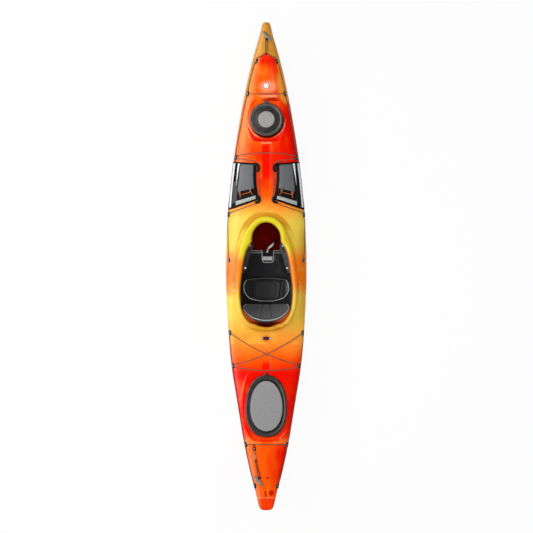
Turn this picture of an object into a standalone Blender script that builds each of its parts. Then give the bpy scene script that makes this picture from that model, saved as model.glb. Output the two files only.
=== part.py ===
"""Day touring kayak: roto-moulded shell, cockpit outfit, hatches, deck rigging.

Metres. +Z is up, +Y is the bow, +X is starboard. The keel stands on z = 0.
"""
import math

import bmesh
import bpy
from mathutils import Matrix, Vector

# Driving dimensions

LENGTH = 3.89
BEAM = 0.646
WALL = 0.0048
GAP = 0.0003
KEEL_FLAT_HALF_LENGTH = 0.90

# Half the beam in plan at stations along the centreline, as a share of half the beam
PLAN = (
    (-1.000, 0.155), (-0.970, 0.205), (-0.920, 0.275), (-0.871, 0.356),
    (-0.822, 0.430), (-0.772, 0.493), (-0.723, 0.553), (-0.625, 0.654),
    (-0.527, 0.751), (-0.428, 0.848), (-0.330, 0.913), (-0.232, 0.953),
    (-0.133, 0.984), (-0.050, 1.000), (0.045, 1.000), (0.113, 0.988),
    (0.211, 0.950), (0.309, 0.905), (0.408, 0.838), (0.506, 0.752),
    (0.605, 0.653), (0.703, 0.542), (0.802, 0.410), (0.850, 0.336),
    (0.900, 0.250), (0.948, 0.165), (1.000, 0.092),
)
# Height of the deck on the centreline, in metres
DECK_LINE = (
    (-1.000, 0.336), (-0.800, 0.321), (-0.560, 0.305), (-0.360, 0.292),
    (-0.265, 0.288), (0.000, 0.322), (0.205, 0.356), (0.400, 0.353),
    (0.620, 0.347), (0.820, 0.357), (1.000, 0.374),
)
SHEER_MID = 0.232
SHEER_RISE_BOW = 0.102
SHEER_RISE_STERN = 0.072
STEM_FOOT = 0.290
STERN_FOOT = 0.255
TIP_ROUND = 0.045

COAMING_FRONT_Y = 0.398
COAMING_REAR_Y = -0.516
COAMING_WIDEST_Y = -0.210
COAMING_HALF_WIDTH = 0.2458
COAMING_FRONT_Z = 0.389
COAMING_REAR_Z = 0.319
COAMING_LIP = 0.022
# Inner edge of the cockpit rim, starboard half, from front to rear
COCKPIT_MOUTH = (
    (0.0, 0.3515), (0.030, 0.346), (0.058, 0.331), (0.082, 0.309),
    (0.100, 0.282), (0.110, 0.255), (0.113, 0.225), (0.114, 0.198),
    (0.132, 0.170), (0.154, 0.130), (0.170, 0.080), (0.182, 0.020),
    (0.191, -0.050), (0.199, -0.110), (0.205, -0.170), (0.2055, -0.230),
    (0.200, -0.300), (0.189, -0.356), (0.167, -0.402), (0.137, -0.437),
    (0.100, -0.456), (0.074, -0.462), (0.056, -0.472), (0.030, -0.480),
    (0.0, -0.4826),
)

BOW_HATCH_Y = 1.171
BOW_HATCH_R = 0.1325
BOW_SHELF_Z = 0.3330
STERN_HATCH_Y = -1.114
STERN_HATCH_HALF_WIDTH = 0.165
STERN_HATCH_HALF_LENGTH = 0.2475
STERN_SHELF_Z = 0.2930
COLLAR_HEIGHT = 0.019
COLLAR_WALL = 0.006

HALF = LENGTH / 2.0
OUTER_STEPS = (8, 6)
INNER_STEPS = (6, 5)


# Small helpers


def curve_value(table, s):
    """Monotone cubic through the table's points."""
    if s <= table[0][0]:
        return table[0][1]
    if s >= table[-1][0]:
        return table[-1][1]
    k = 0
    while table[k + 1][0] < s:
        k += 1

    def slope(i):
        if i <= 0 or i >= len(table) - 1:
            j = min(max(i, 1), len(table) - 1)
            return (table[j][1] - table[j - 1][1]) / (table[j][0] - table[j - 1][0])
        d0 = (table[i][1] - table[i - 1][1]) / (table[i][0] - table[i - 1][0])
        d1 = (table[i + 1][1] - table[i][1]) / (table[i + 1][0] - table[i][0])
        if d0 * d1 <= 0.0:
            return 0.0
        return 2.0 * d0 * d1 / (d0 + d1)

    x0, y0 = table[k]
    x1, y1 = table[k + 1]
    h = x1 - x0
    t = (s - x0) / h
    m0 = slope(k) * h
    m1 = slope(k + 1) * h
    a = 2 * t ** 3 - 3 * t ** 2 + 1
    b = t ** 3 - 2 * t ** 2 + t
    c = -2 * t ** 3 + 3 * t ** 2
    d = t ** 3 - t ** 2
    return a * y0 + b * m0 + c * y1 + d * m1


def half_beam(y):
    s = y / HALF
    width = curve_value(PLAN, s) * BEAM / 2.0
    near = HALF - abs(y)
    if near < TIP_ROUND:
        t = 1.0 - near / TIP_ROUND
        width *= 0.50 + 0.50 * math.sqrt(max(0.0, 1.0 - t * t))
    return width


def sheer_z(y):
    t = abs(y) / HALF
    rise = SHEER_RISE_BOW if y > 0 else SHEER_RISE_STERN
    return SHEER_MID + rise * t * t


def keel_z(y):
    t = (abs(y) - KEEL_FLAT_HALF_LENGTH) / (HALF - KEEL_FLAT_HALF_LENGTH)
    if t <= 0.0:
        return 0.0
    foot = STEM_FOOT if y > 0 else STERN_FOOT
    power = 2.5 if y > 0 else 3.0
    return foot * (1.0 - math.sqrt(max(0.0, 1.0 - min(1.0, t) ** power)))


def deck_line_z(y):
    z = curve_value(DECK_LINE, y / HALF)
    near = HALF - abs(y)
    if near < TIP_ROUND:
        t = 1.0 - near / TIP_ROUND
        z -= 0.016 * (1.0 - math.sqrt(max(0.0, 1.0 - t * t)))
    return z


def deck_power(y):
    return 2.45 - 0.35 * (abs(y) / HALF) ** 2


def bottom_power(y):
    return 3.1 - 1.0 * (abs(y) / HALF) ** 1.5


def keel_half_flat(y):
    return 0.048 - 0.040 * min(1.0, abs(y) / HALF) ** 2


def deck_z(x, y):
    """Height of the outside of the deck."""
    t = min(1.0, abs(x) / half_beam(y))
    n = deck_power(y)
    return sheer_z(y) + (deck_line_z(y) - sheer_z(y)) * (1.0 - t ** n) ** (1.0 / n)


def deck_normal(x, y):
    e = 0.002
    dx = (deck_z(x + e, y) - deck_z(x - e, y)) / (2 * e)
    dy = (deck_z(x, y + e) - deck_z(x, y - e)) / (2 * e)
    return Vector((-dx, -dy, 1.0)).normalized()


def section(y, inset, low_steps, high_steps):
    """Closed cross-section at y, drawn in by inset, as (x, z) pairs."""
    b = half_beam(y) - inset
    zk = keel_z(y) + inset
    zs = sheer_z(y)
    zd = deck_line_z(y) - inset
    k = keel_half_flat(y) * b / half_beam(y)
    right = [(k, zk)]
    n = bottom_power(y)
    for i in range(1, low_steps + 1):
        a = 0.5 * math.pi * i / low_steps
        x = k + (b - k) * math.sin(a) ** (2.0 / n)
        z = zs - (zs - zk) * max(0.0, math.cos(a)) ** (2.0 / n)
        right.append((x, z))
    n = deck_power(y)
    for i in range(1, high_steps):
        a = 0.5 * math.pi * i / high_steps
        x = b * math.cos(a) ** (2.0 / n)
        z = zs + (zd - zs) * math.sin(a) ** (2.0 / n)
        right.append((x, z))
    top = [(0.0, zd)]
    left = [(-x, z) for x, z in reversed(right)]
    return right + top + left


def stations(low, high, count, tips):
    """Positions along Y, closer together towards the tips."""
    body = [low + (high - low) * i / count for i in range(count + 1)]
    if not tips:
        return body
    ends = (0.030, 0.017, 0.008, 0.0025, 0.0)
    return ([-HALF + e for e in reversed(ends)] + body + [HALF - e for e in ends])


# Collections and materials

for old in list(bpy.data.objects):
    bpy.data.objects.remove(old)

PARTS = bpy.data.collections.new("day_touring_kayak")
CUTTERS = bpy.data.collections.new("cutters")
bpy.context.scene.collection.children.link(PARTS)
bpy.context.scene.collection.children.link(CUTTERS)


def material(name, colour, roughness, metallic=0.0):
    made = bpy.data.materials.new(name)
    made.use_nodes = True
    shader = made.node_tree.nodes["Principled BSDF"]
    shader.inputs["Base Color"].default_value = (*colour, 1.0)
    shader.inputs["Roughness"].default_value = roughness
    shader.inputs["Metallic"].default_value = metallic
    return made


def new_object(name, points, faces, look=None, cutter=False):
    mesh = bpy.data.meshes.new(name)
    mesh.from_pydata([tuple(p) for p in points], [], faces)
    shape = bmesh.new()
    shape.from_mesh(mesh)
    bmesh.ops.recalc_face_normals(shape, faces=shape.faces)
    shape.to_mesh(mesh)
    shape.free()
    made = bpy.data.objects.new(name, mesh)
    if cutter:
        CUTTERS.objects.link(made)
        made.hide_render = True
        made.display_type = "WIRE"
    else:
        PARTS.objects.link(made)
        mesh.materials.append(look or material(name, (0.5, 0.5, 0.5), 0.5))
    return made


def loft(name, rings, look=None, cutter=False, closed=False):
    """Skin through rings of equal length; the ends are capped unless closed."""
    n = len(rings[0])
    points = [p for ring in rings for p in ring]
    faces = []
    count = len(rings)
    for i in range(count if closed else count - 1):
        a = i * n
        b = ((i + 1) % count) * n
        for j in range(n):
            k = (j + 1) % n
            faces.append((a + j, a + k, b + k, b + j))
    if not closed:
        faces.append(tuple(range(n)))
        faces.append(tuple(reversed(range((count - 1) * n, count * n))))
    return new_object(name, points, faces, look, cutter)


def boolean(target, other, operation):
    step = target.modifiers.new(operation.lower(), "BOOLEAN")
    step.operation = operation
    step.solver = "EXACT"
    step.object = other
    return step


def prism(name, outline, low, high, cutter=True, look=None):
    rings = [[(x, y, z) for x, y in outline] for z in (low, high)]
    return loft(name, rings, look, cutter)


def oval(cx, cy, rx, ry, power, count, egg=0.0):
    """Superellipse in plan; egg above zero makes the bow end narrower."""
    pts = []
    for i in range(count):
        a = 2 * math.pi * i / count
        c = math.cos(a)
        s = math.sin(a)
        u = math.copysign(abs(c) ** (2.0 / power), c)
        v = math.copysign(abs(s) ** (2.0 / power), s)
        pts.append((cx + rx * u * (1.0 - egg * v), cy + ry * v))
    return pts


# Cockpit rim curves


def coaming_z(y):
    t = (y - COAMING_REAR_Y) / (COAMING_FRONT_Y - COAMING_REAR_Y)
    return COAMING_REAR_Z + (COAMING_FRONT_Z - COAMING_REAR_Z) * t


def even(points, count):
    """Resample an open polyline at even steps of length."""
    run = [0.0]
    for p, q in zip(points, points[1:]):
        run.append(run[-1] + math.dist(p, q))
    out = []
    for i in range(count + 1):
        want = run[-1] * i / count
        k = 0
        while k < len(points) - 2 and run[k + 1] < want:
            k += 1
        t = (want - run[k]) / (run[k + 1] - run[k])
        out.append(tuple(a + (b - a) * t for a, b in zip(points[k], points[k + 1])))
    return out


def coaming_outline(count):
    """Outer edge of the lip, starboard half, front to rear."""
    pts = []
    for i in range(201):
        a = math.pi * i / 200
        c = math.cos(a)
        s = abs(math.sin(a))
        if c >= 0:
            n = 2.2
            y = COAMING_WIDEST_Y + (COAMING_FRONT_Y - COAMING_WIDEST_Y) * c ** (2 / n)
        else:
            n = 2.5
            y = COAMING_WIDEST_Y - (COAMING_WIDEST_Y - COAMING_REAR_Y) * (-c) ** (2 / n)
        pts.append((COAMING_HALF_WIDTH * s ** (2 / n), y))
    pts[0] = (0.0, COAMING_FRONT_Y)
    pts[-1] = (0.0, COAMING_REAR_Y)
    return even(pts, count)


def outward(points, i):
    """Unit normal of the half outline at point i, away from the cockpit."""
    if i == 0:
        return (0.0, 1.0)
    if i == len(points) - 1:
        return (0.0, -1.0)
    dx = points[i + 1][0] - points[i - 1][0]
    dy = points[i + 1][1] - points[i - 1][1]
    size = math.hypot(dx, dy)
    return (-dy / size, dx / size)


def mirrored(ring):
    """Close a starboard half outline with its port half."""
    return ring + [(-p[0], *p[1:]) for p in ring[-2:0:-1]]


RIM_STEPS = 30
LIP_EDGE = coaming_outline(RIM_STEPS)
RISER = []
for i, p in enumerate(LIP_EDGE):
    nx, ny = outward(LIP_EDGE, i)
    RISER.append((p[0] - nx * COAMING_LIP, p[1] - ny * COAMING_LIP))
MOUTH = even(list(COCKPIT_MOUTH), RIM_STEPS)

# Profile of the rim: how far out from the riser or in towards the mouth, and how high
RIM_PROFILE = (
    ("out", 0.003, None), ("out", 0.003, -0.0080), ("out", 0.019, -0.0095),
    ("out", 0.022, -0.0030), ("out", 0.016, 0.0030), ("out", 0.000, 0.0060),
    ("in", 0.50, 0.0030), ("in", 0.92, -0.0080), ("in", 1.00, -0.0200),
    ("in", 0.84, -0.0215), ("in", 0.74, -0.0110), ("in", 0.40, -0.0030),
    ("out", -0.003, -0.0015), ("out", -0.003, None),
)


def rim_loop(kind, amount, height):
    half = []
    for i, (x, y) in enumerate(RISER):
        nx, ny = outward(LIP_EDGE, i)
        if kind == "out":
            px = x + nx * amount
            py = y + ny * amount
        else:
            px = x + (MOUTH[i][0] - x) * amount
            py = y + (MOUTH[i][1] - y) * amount
        if i in (0, RIM_STEPS):
            px = 0.0
        z = deck_z(x, y) - 0.003 if height is None else coaming_z(py) + height
        half.append((px, py, z))
    return mirrored(half)


# Shell

PLASTIC = material("moulded_plastic", (0.93, 0.33, 0.02), 0.30)

body_stations = stations(-HALF + TIP_ROUND, HALF - TIP_ROUND, 34, True)
shell = loft(
    "hull_shell",
    [[(x, y, z) for x, z in section(y, 0.0, *OUTER_STEPS)] for y in body_stations],
    PLASTIC,
)

cavity_stations = stations(-HALF + 0.11, HALF - 0.11, 26, False)
cavity = loft(
    "cut_cavity",
    [[(x, y, z) for x, z in section(y, WALL, *INNER_STEPS)] for y in cavity_stations],
    cutter=True,
)

# Level shelf round each hatch, moulded into the deck
bow_shelf = prism(
    "cut_bow_shelf", oval(0, BOW_HATCH_Y, 0.158, 0.165, 2.6, 40), BOW_SHELF_Z, 0.5
)
stern_shelf = prism(
    "cut_stern_shelf",
    oval(0, STERN_HATCH_Y, 0.186, 0.272, 2.5, 40, 0.05),
    STERN_SHELF_Z,
    0.5,
)
bow_pad = prism(
    "pad_under_bow_shelf",
    oval(0, BOW_HATCH_Y, 0.166, 0.173, 2.6, 32),
    BOW_SHELF_Z - WALL,
    0.5,
)
stern_pad = prism(
    "pad_under_stern_shelf",
    oval(0, STERN_HATCH_Y, 0.194, 0.280, 2.5, 32, 0.05),
    STERN_SHELF_Z - WALL,
    0.5,
)
boolean(cavity, bow_pad, "DIFFERENCE")
boolean(cavity, stern_pad, "DIFFERENCE")
boolean(shell, bow_shelf, "DIFFERENCE")
boolean(shell, stern_shelf, "DIFFERENCE")

# Flat step for a rudder mount at the stern
RUDDER_STEP_Y = -1.849
RUDDER_STEP_Z = 0.322
step_cut = prism(
    "cut_rudder_step",
    [(-0.1, RUDDER_STEP_Y), (0.1, RUDDER_STEP_Y), (0.1, -2.0), (-0.1, -2.0)],
    RUDDER_STEP_Z,
    0.5,
)
boolean(shell, step_cut, "DIFFERENCE")

# Hatch collars
COLLAR_BOW_R = BOW_HATCH_R - 0.0125
bow_collar = prism(
    "collar_bow",
    oval(0, BOW_HATCH_Y, COLLAR_BOW_R, COLLAR_BOW_R, 2.0, 36),
    BOW_SHELF_Z - 0.003,
    BOW_SHELF_Z + COLLAR_HEIGHT,
)
STERN_COLLAR_RX = STERN_HATCH_HALF_WIDTH - 0.0125
STERN_COLLAR_RY = STERN_HATCH_HALF_LENGTH - 0.0125
stern_collar = prism(
    "collar_stern",
    oval(0, STERN_HATCH_Y, STERN_COLLAR_RX, STERN_COLLAR_RY, 2.3, 40, 0.05),
    STERN_SHELF_Z - 0.003,
    STERN_SHELF_Z + COLLAR_HEIGHT,
)
boolean(shell, bow_collar, "UNION")
boolean(shell, stern_collar, "UNION")
boolean(shell, cavity, "DIFFERENCE")

bow_hole_r = COLLAR_BOW_R - COLLAR_WALL
bow_hole = prism(
    "cut_bow_hatch",
    oval(0, BOW_HATCH_Y, bow_hole_r, bow_hole_r, 2.0, 36),
    0.25,
    0.5,
)
stern_hole = prism(
    "cut_stern_hatch",
    oval(
        0, STERN_HATCH_Y, STERN_COLLAR_RX - COLLAR_WALL, STERN_COLLAR_RY - COLLAR_WALL,
        2.3, 40, 0.05,
    ),
    0.22,
    0.5,
)
boolean(shell, bow_hole, "DIFFERENCE")
boolean(shell, stern_hole, "DIFFERENCE")

# Cockpit hole, then the rim
cockpit_hole = prism("cut_cockpit", mirrored(RISER), 0.20, 0.5)
boolean(shell, cockpit_hole, "DIFFERENCE")
rim = loft(
    "rim_ring",
    [rim_loop(*row) for row in RIM_PROFILE],
    cutter=True,
    closed=True,
)
boolean(shell, rim, "UNION")

# Looks of the fitted pieces

RUBBER = material("hatch_rubber", (0.02, 0.02, 0.022), 0.55)
INSERT = material("hatch_insert_grey", (0.27, 0.28, 0.29), 0.6)
NYLON = material("black_nylon", (0.015, 0.015, 0.016), 0.4)
LINE = material("deck_line", (0.05, 0.05, 0.05), 0.8)
BUNGEE = material("bungee_cover", (0.03, 0.03, 0.032), 0.8)
GRIP = material("grip_grey", (0.42, 0.43, 0.44), 0.45)
SEAT_PLASTIC = material("seat_plastic", (0.02, 0.02, 0.022), 0.5)
PAD = material("seat_fabric", (0.03, 0.03, 0.032), 0.85)
WEBBING = material("webbing", (0.45, 0.45, 0.45), 0.8)
RAIL = material("rail_aluminium", (0.6, 0.6, 0.62), 0.35, 1.0)
BAG = material("bag_fabric", (0.05, 0.05, 0.055), 0.85)
BAG_CORD = material("bag_cord_orange", (0.85, 0.22, 0.02), 0.7)
BULKHEAD = material("bulkhead_plastic", (0.05, 0.05, 0.055), 0.5)


# Helpers for fitted pieces


def deck_frame(x, y, heading, lift=GAP):
    """Frame on the deck: Z along its normal, Y turned from the bow by heading."""
    n = deck_normal(x, y)
    fwd = Vector((-math.sin(heading), math.cos(heading), 0.0))
    fwd = (fwd - n * fwd.dot(n)).normalized()
    side = fwd.cross(n)
    place = Matrix((side, fwd, n)).transposed().to_4x4()
    place.translation = Vector((x, y, deck_z(x, y))) + n * lift
    return place


def deck_point(x, y, lift):
    return Vector((x, y, deck_z(x, y))) + deck_normal(x, y) * lift


def rod(name, a, b, radius, sides=10, cutter=True, look=None):
    a = Vector(a)
    b = Vector(b)
    turn = (b - a).to_track_quat("Z", "Y")
    rings = []
    for base in (a, b):
        ring = []
        for i in range(sides):
            t = 2 * math.pi * i / sides
            ring.append(base + turn @ Vector((math.cos(t), math.sin(t), 0.0)) * radius)
        rings.append(ring)
    return loft(name, rings, look, cutter)


def turned(name, path, radii, sides, look, cutter=False):
    """Round body whose radius changes along a path."""
    path = [Vector(p) for p in path]
    rings = []
    for i, p in enumerate(path):
        ahead = path[min(i + 1, len(path) - 1)]
        behind = path[max(i - 1, 0)]
        turn = (ahead - behind).to_track_quat("Y", "Z")
        ring = []
        for k in range(sides):
            t = 2 * math.pi * k / sides
            offset = Vector((math.cos(t), 0.0, math.sin(t))) * radii[i]
            ring.append(p + turn @ offset)
        rings.append(ring)
    return loft(name, rings, look, cutter)


def cord(name, path, radius, look, cutter=False):
    """Round cord of even thickness along a path."""
    data = bpy.data.curves.new(name, "CURVE")
    data.dimensions = "3D"
    data.bevel_depth = radius
    data.bevel_resolution = 2
    data.use_fill_caps = True
    line = data.splines.new("POLY")
    line.points.add(len(path) - 1)
    for point, place in zip(line.points, path):
        point.co = (place[0], place[1], place[2], 1.0)
    holder = bpy.data.objects.new(name + "_curve", data)
    bpy.context.scene.collection.objects.link(holder)
    bpy.context.view_layer.update()
    graph = bpy.context.evaluated_depsgraph_get()
    drawn = bpy.data.meshes.new_from_object(holder.evaluated_get(graph))
    bpy.data.objects.remove(holder)
    bpy.data.curves.remove(data)
    shape = bmesh.new()
    shape.from_mesh(drawn)
    bmesh.ops.remove_doubles(shape, verts=shape.verts, dist=1e-5)
    points = [v.co.copy() for v in shape.verts]
    faces = [tuple(v.index for v in f.verts) for f in shape.faces]
    shape.free()
    bpy.data.meshes.remove(drawn)
    return new_object(name, points, faces, look, cutter)


def over_deck(p, q, lift, step=0.06, bow=0.0):
    """Points between p and q lying on the deck; bow bends the run along Y."""
    n = max(2, int(math.hypot(q[0] - p[0], q[1] - p[1]) / step))
    out = []
    for i in range(1, n):
        t = i / n
        x = p[0] + (q[0] - p[0]) * t
        y = p[1] + (q[1] - p[1]) * t + bow * 4 * t * (1 - t)
        out.append(deck_point(x, y, lift))
    return out


def slab(name, us, vs, top, under, look, skip=None):
    """Closed pad between a top and an underside, each a function of u and v."""
    nu = len(us)
    nv = len(vs)
    points = [top(u, v) for v in vs for u in us] + [under(u, v) for v in vs for u in us]
    base = nu * nv
    kept = set()
    for j in range(nv - 1):
        for i in range(nu - 1):
            if skip is None or not skip(i, j):
                kept.add((i, j))
    faces = []
    for i, j in sorted(kept):
        a = j * nu + i
        b = a + 1
        c = a + nu + 1
        d = a + nu
        faces += [(a, b, c), (a, c, d)]
        faces += [(base + c, base + b, base + a), (base + d, base + c, base + a)]
        if (i, j - 1) not in kept:
            faces.append((b, a, base + a, base + b))
        if (i, j + 1) not in kept:
            faces.append((d, c, base + c, base + d))
        if (i - 1, j) not in kept:
            faces.append((a, d, base + d, base + a))
        if (i + 1, j) not in kept:
            faces.append((c, b, base + b, base + c))
    used = sorted({k for f in faces for k in f})
    new = {k: n for n, k in enumerate(used)}
    return new_object(
        name, [points[k] for k in used], [tuple(new[k] for k in f) for f in faces], look
    )


def box(name, low, high, look=None, cutter=False):
    x0, y0, z0 = low
    x1, y1, z1 = high
    rings = [[(x0, y0, z), (x1, y0, z), (x1, y1, z), (x0, y1, z)] for z in (z0, z1)]
    return loft(name, rings, look, cutter)


# Bulkheads


def bulkhead(name, y):
    rings = []
    for at in (y - 0.003, y + 0.003):
        rings.append([(x, at, z) for x, z in section(at, WALL + 0.0009, *INNER_STEPS)])
    return loft(name, rings, BULKHEAD)


bulkhead("bow_bulkhead", 0.965)
bulkhead("stern_bulkhead", -0.640)

# Hatch covers


def hatch_cover(name, cy, rx, ry, power, count, egg, shelf, insert_rx, insert_ry, tab_y):
    collar_top = shelf + COLLAR_HEIGHT
    bottom = shelf + 0.0015
    inner = 0.0125 - GAP
    steps = (
        (inner, collar_top + GAP), (inner, bottom), (0.0, bottom),
        (0.0, collar_top), (0.0035, collar_top + 0.0065),
        (0.0105, collar_top + 0.0085), (0.0180, collar_top + 0.0055),
        (0.0260, collar_top + 0.0045),
    )
    rings = []
    for inset, z in steps:
        outline = oval(0, cy, rx - inset, ry - inset, power, count, egg)
        rings.append([(x, y, z) for x, y in outline])
    for grow, z in ((0.0005, collar_top + 0.0045), (0.0005, collar_top + 0.0022)):
        outline = oval(0, cy, insert_rx + grow, insert_ry + grow, power, count, egg)
        rings.append([(x, y, z) for x, y in outline])
    cover = loft(name, rings, RUBBER)
    tab = box(
        "tab_" + name,
        (-0.018, cy + ry - 0.004, shelf + 0.0060),
        (0.018, cy + ry + tab_y, shelf + 0.0105),
        cutter=True,
    )
    boolean(cover, tab, "UNION")
    floor = collar_top + 0.0022 + GAP
    rings = []
    for inset, z in ((0.0, floor), (0.0, floor + 0.0030), (0.0025, floor + 0.0042)):
        outline = oval(0, cy, insert_rx - inset, insert_ry - inset, power, count, egg)
        rings.append([(x, y, z) for x, y in outline])
    loft(name.replace("cover", "insert"), rings, INSERT)


hatch_cover(
    "bow_hatch_cover", BOW_HATCH_Y, BOW_HATCH_R, BOW_HATCH_R, 2.0, 36, 0.0,
    BOW_SHELF_Z, 0.068, 0.068, 0.020,
)
hatch_cover(
    "stern_hatch_cover", STERN_HATCH_Y, STERN_HATCH_HALF_WIDTH, STERN_HATCH_HALF_LENGTH,
    2.3, 40, 0.05, STERN_SHELF_Z, 0.129, 0.201, 0.017,
)

# Deck fittings

FITTING_HALF_LENGTH = 0.022
FITTING_HALF_WIDTH = 0.010
FITTING_HEIGHT = 0.012
TUNNEL_OUT = 0.004
TUNNEL_UP = 0.0055
LINE_R = 0.0026
BUNGEE_R = 0.0030
LINE_LIFT = 0.0048
BUNGEE_LIFT = 0.0052

STERN_HATCH_FRONT = STERN_HATCH_Y + STERN_HATCH_HALF_LENGTH
STERN_HATCH_REAR = STERN_HATCH_Y - STERN_HATCH_HALF_LENGTH

# Name, distance from the centreline, station, turn from the bow in degrees, bungee holes
FITTINGS = (
    ("bow_end_eye", 0.0793, 1.6343, 26.0, ()),
    ("hatch_eye", 0.1465, BOW_HATCH_Y + BOW_HATCH_R + 0.0725, 12.0, (0.0,)),
    ("bag_front_eye", 0.2410, 0.8710, 9.0, (0.011, -0.011)),
    ("bag_rear_eye", 0.2975, COAMING_FRONT_Y + 0.0165, 3.0, (0.011,)),
    ("cockpit_rear_eye", 0.2900, COAMING_REAR_Y - 0.0150, -5.0, (-0.008,)),
    ("bungee_eye", 0.2655, STERN_HATCH_FRONT + 0.0715, -8.0, (0.011, -0.011)),
    ("stern_hatch_eye", 0.1640, STERN_HATCH_REAR - 0.0600, -12.0, (0.0,)),
    ("stern_end_eye", 0.0890, -1.7500, -14.0, ()),
)
SIDES = (("port", -1), ("starboard", 1))


def stadium(half_length, half_width, inset, corner_steps=3):
    """Rounded outline in local X and Y."""
    r = half_width - inset
    straight = half_length - half_width
    pts = []
    for sign, start in ((1, 0.0), (-1, math.pi)):
        for i in range(corner_steps + 1):
            a = start + math.pi * i / corner_steps
            pts.append((r * math.cos(a), sign * straight + r * math.sin(a)))
    return pts


def block(name, place, half_length, half_width, height, look, steps=3):
    rings = []
    for inset, z in ((0.0, 0.0), (0.0, height * 0.65), (0.0028, height)):
        outline = stadium(half_length, half_width, inset, steps)
        rings.append([place @ Vector((x, y, z)) for x, y in outline])
    return loft(name, rings, look)


EYES = {}
for label, x, y, turn, holes in FITTINGS:
    for side_name, side in SIDES:
        place = deck_frame(side * x, y, side * math.radians(turn))
        name = label + "_" + side_name
        eye = block(
            name, place, FITTING_HALF_LENGTH, FITTING_HALF_WIDTH, FITTING_HEIGHT, NYLON
        )
        tunnel = rod(
            "cut_" + name,
            place @ Vector((side * TUNNEL_OUT, -0.03, TUNNEL_UP)),
            place @ Vector((side * TUNNEL_OUT, 0.03, TUNNEL_UP)),
            LINE_R + 0.0008,
            8,
        )
        boolean(eye, tunnel, "DIFFERENCE")
        for k, along in enumerate(holes):
            hole = rod(
                "cut_%s_%d" % (name, k),
                place @ Vector((-side * 0.014, along, TUNNEL_UP)),
                place @ Vector((-side * 0.0025, along, TUNNEL_UP)),
                BUNGEE_R + 0.0007,
                8,
            )
            boolean(eye, hole, "DIFFERENCE")
        EYES[name] = (place, side)

# Oval end eyes of the bow line beside the cockpit
LINE_END_X = 0.2975
LINE_END_Y = 0.0486
for side_name, side in SIDES:
    place = deck_frame(side * LINE_END_X, LINE_END_Y, 0.0)
    name = "line_end_eye_" + side_name
    eye = block(name, place, 0.018, 0.0105, 0.010, GRIP, 4)
    hole = rod(
        "cut_" + name,
        place @ Vector((0.0, 0.004, 0.005)),
        place @ Vector((0.0, 0.03, 0.005)),
        LINE_R + 0.0008,
        8,
    )
    boolean(eye, hole, "DIFFERENCE")
    EYES[name] = (place, side)


def through(name, forward):
    """Two points of the line where it passes through a fitting's tunnel."""
    place, side = EYES[name]
    ends = [place @ Vector((side * TUNNEL_OUT, s * 0.025, TUNNEL_UP)) for s in (-1, 1)]
    return ends if forward else ends[::-1]


def run_line(stops, lift):
    """Join groups of points with runs that lie on the deck."""
    path = list(stops[0])
    for group in stops[1:]:
        path += over_deck(path[-1], group[0], lift, 0.085)
        path += list(group)
    return path


# Perimeter lines
APEX_Y = 1.694
order = ("bag_rear_eye", "bag_front_eye", "hatch_eye", "bow_end_eye")
start_place = EYES["line_end_eye_port"][0]
end_place = EYES["line_end_eye_starboard"][0]
stops = [[start_place @ Vector((0.0, y, 0.005)) for y in (0.006, 0.021)]]
stops += [through(n + "_port", True) for n in order]
stops.append([deck_point(x, APEX_Y - 0.75 * max(0.0, abs(x) - 0.0015), LINE_LIFT)
              for x in (-0.014, -0.005, 0.005, 0.014)])
stops += [through(n + "_starboard", False) for n in order[::-1]]
stops.append([end_place @ Vector((0.0, y, 0.005)) for y in (0.021, 0.006)])
cord("bow_perimeter_line", run_line(stops, LINE_LIFT), LINE_R, LINE)

for side_name, side in SIDES:
    first, last = (EYES[n + side_name][0] for n in ("cockpit_rear_eye_", "stern_end_eye_"))
    stops = [
        [first @ Vector((side * TUNNEL_OUT, y, TUNNEL_UP)) for y in (0.0, -0.025)],
        through("bungee_eye_" + side_name, False),
        through("stern_hatch_eye_" + side_name, False),
        [last @ Vector((side * TUNNEL_OUT, y, TUNNEL_UP)) for y in (0.025, 0.0)],
    ]
    cord("stern_perimeter_line_" + side_name, run_line(stops, LINE_LIFT), LINE_R, LINE)

# Bungee cords


def bungee_end(name, along, outwards):
    """Points of a bungee inside its blind hole and just clear of it."""
    place, side = EYES[name]
    ends = [place @ Vector((-side * x, along, TUNNEL_UP)) for x in (0.0045, 0.0150)]
    return ends if outwards else ends[::-1]


def cross_bungee(name, eye, along, bow=0.0, other=None, other_along=None, hump=None):
    a = bungee_end(eye + "_port", along, True)
    b = bungee_end((other or eye) + "_starboard", along if other is None else other_along,
                   False)
    middle = over_deck(a[-1], b[0], BUNGEE_LIFT, 0.045, bow)
    if hump:
        middle = [p + Vector((0, 0, hump * math.exp(-((p.x / 0.06) ** 2)))) for p in middle]
    return cord(name, a + middle + b, BUNGEE_R, BUNGEE)


cross_bungee("bow_bungee_front", "hatch_eye", 0.0)
cross_bungee("bow_bungee_rear", "bag_front_eye", 0.011, 0.024)
cross_bungee("stern_bungee_front", "bungee_eye", -0.011, -0.026)
cross_bungee("stern_bungee_rear", "stern_hatch_eye", 0.0)

for name, sign, hump in (("diagonal_bungee_lower", 1, 0.0), ("diagonal_bungee_upper", -1, 0.0085)):
    a = bungee_end("cockpit_rear_eye_" + ("port" if sign > 0 else "starboard"), -0.008, True)
    b = bungee_end("bungee_eye_" + ("starboard" if sign > 0 else "port"), 0.011, False)
    middle = over_deck(a[-1], b[0], BUNGEE_LIFT, 0.04)
    middle = [p + Vector((0, 0, hump * math.exp(-((p.x / 0.06) ** 2)))) for p in middle]
    cord(name, a + middle + b, BUNGEE_R, BUNGEE)

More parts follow.
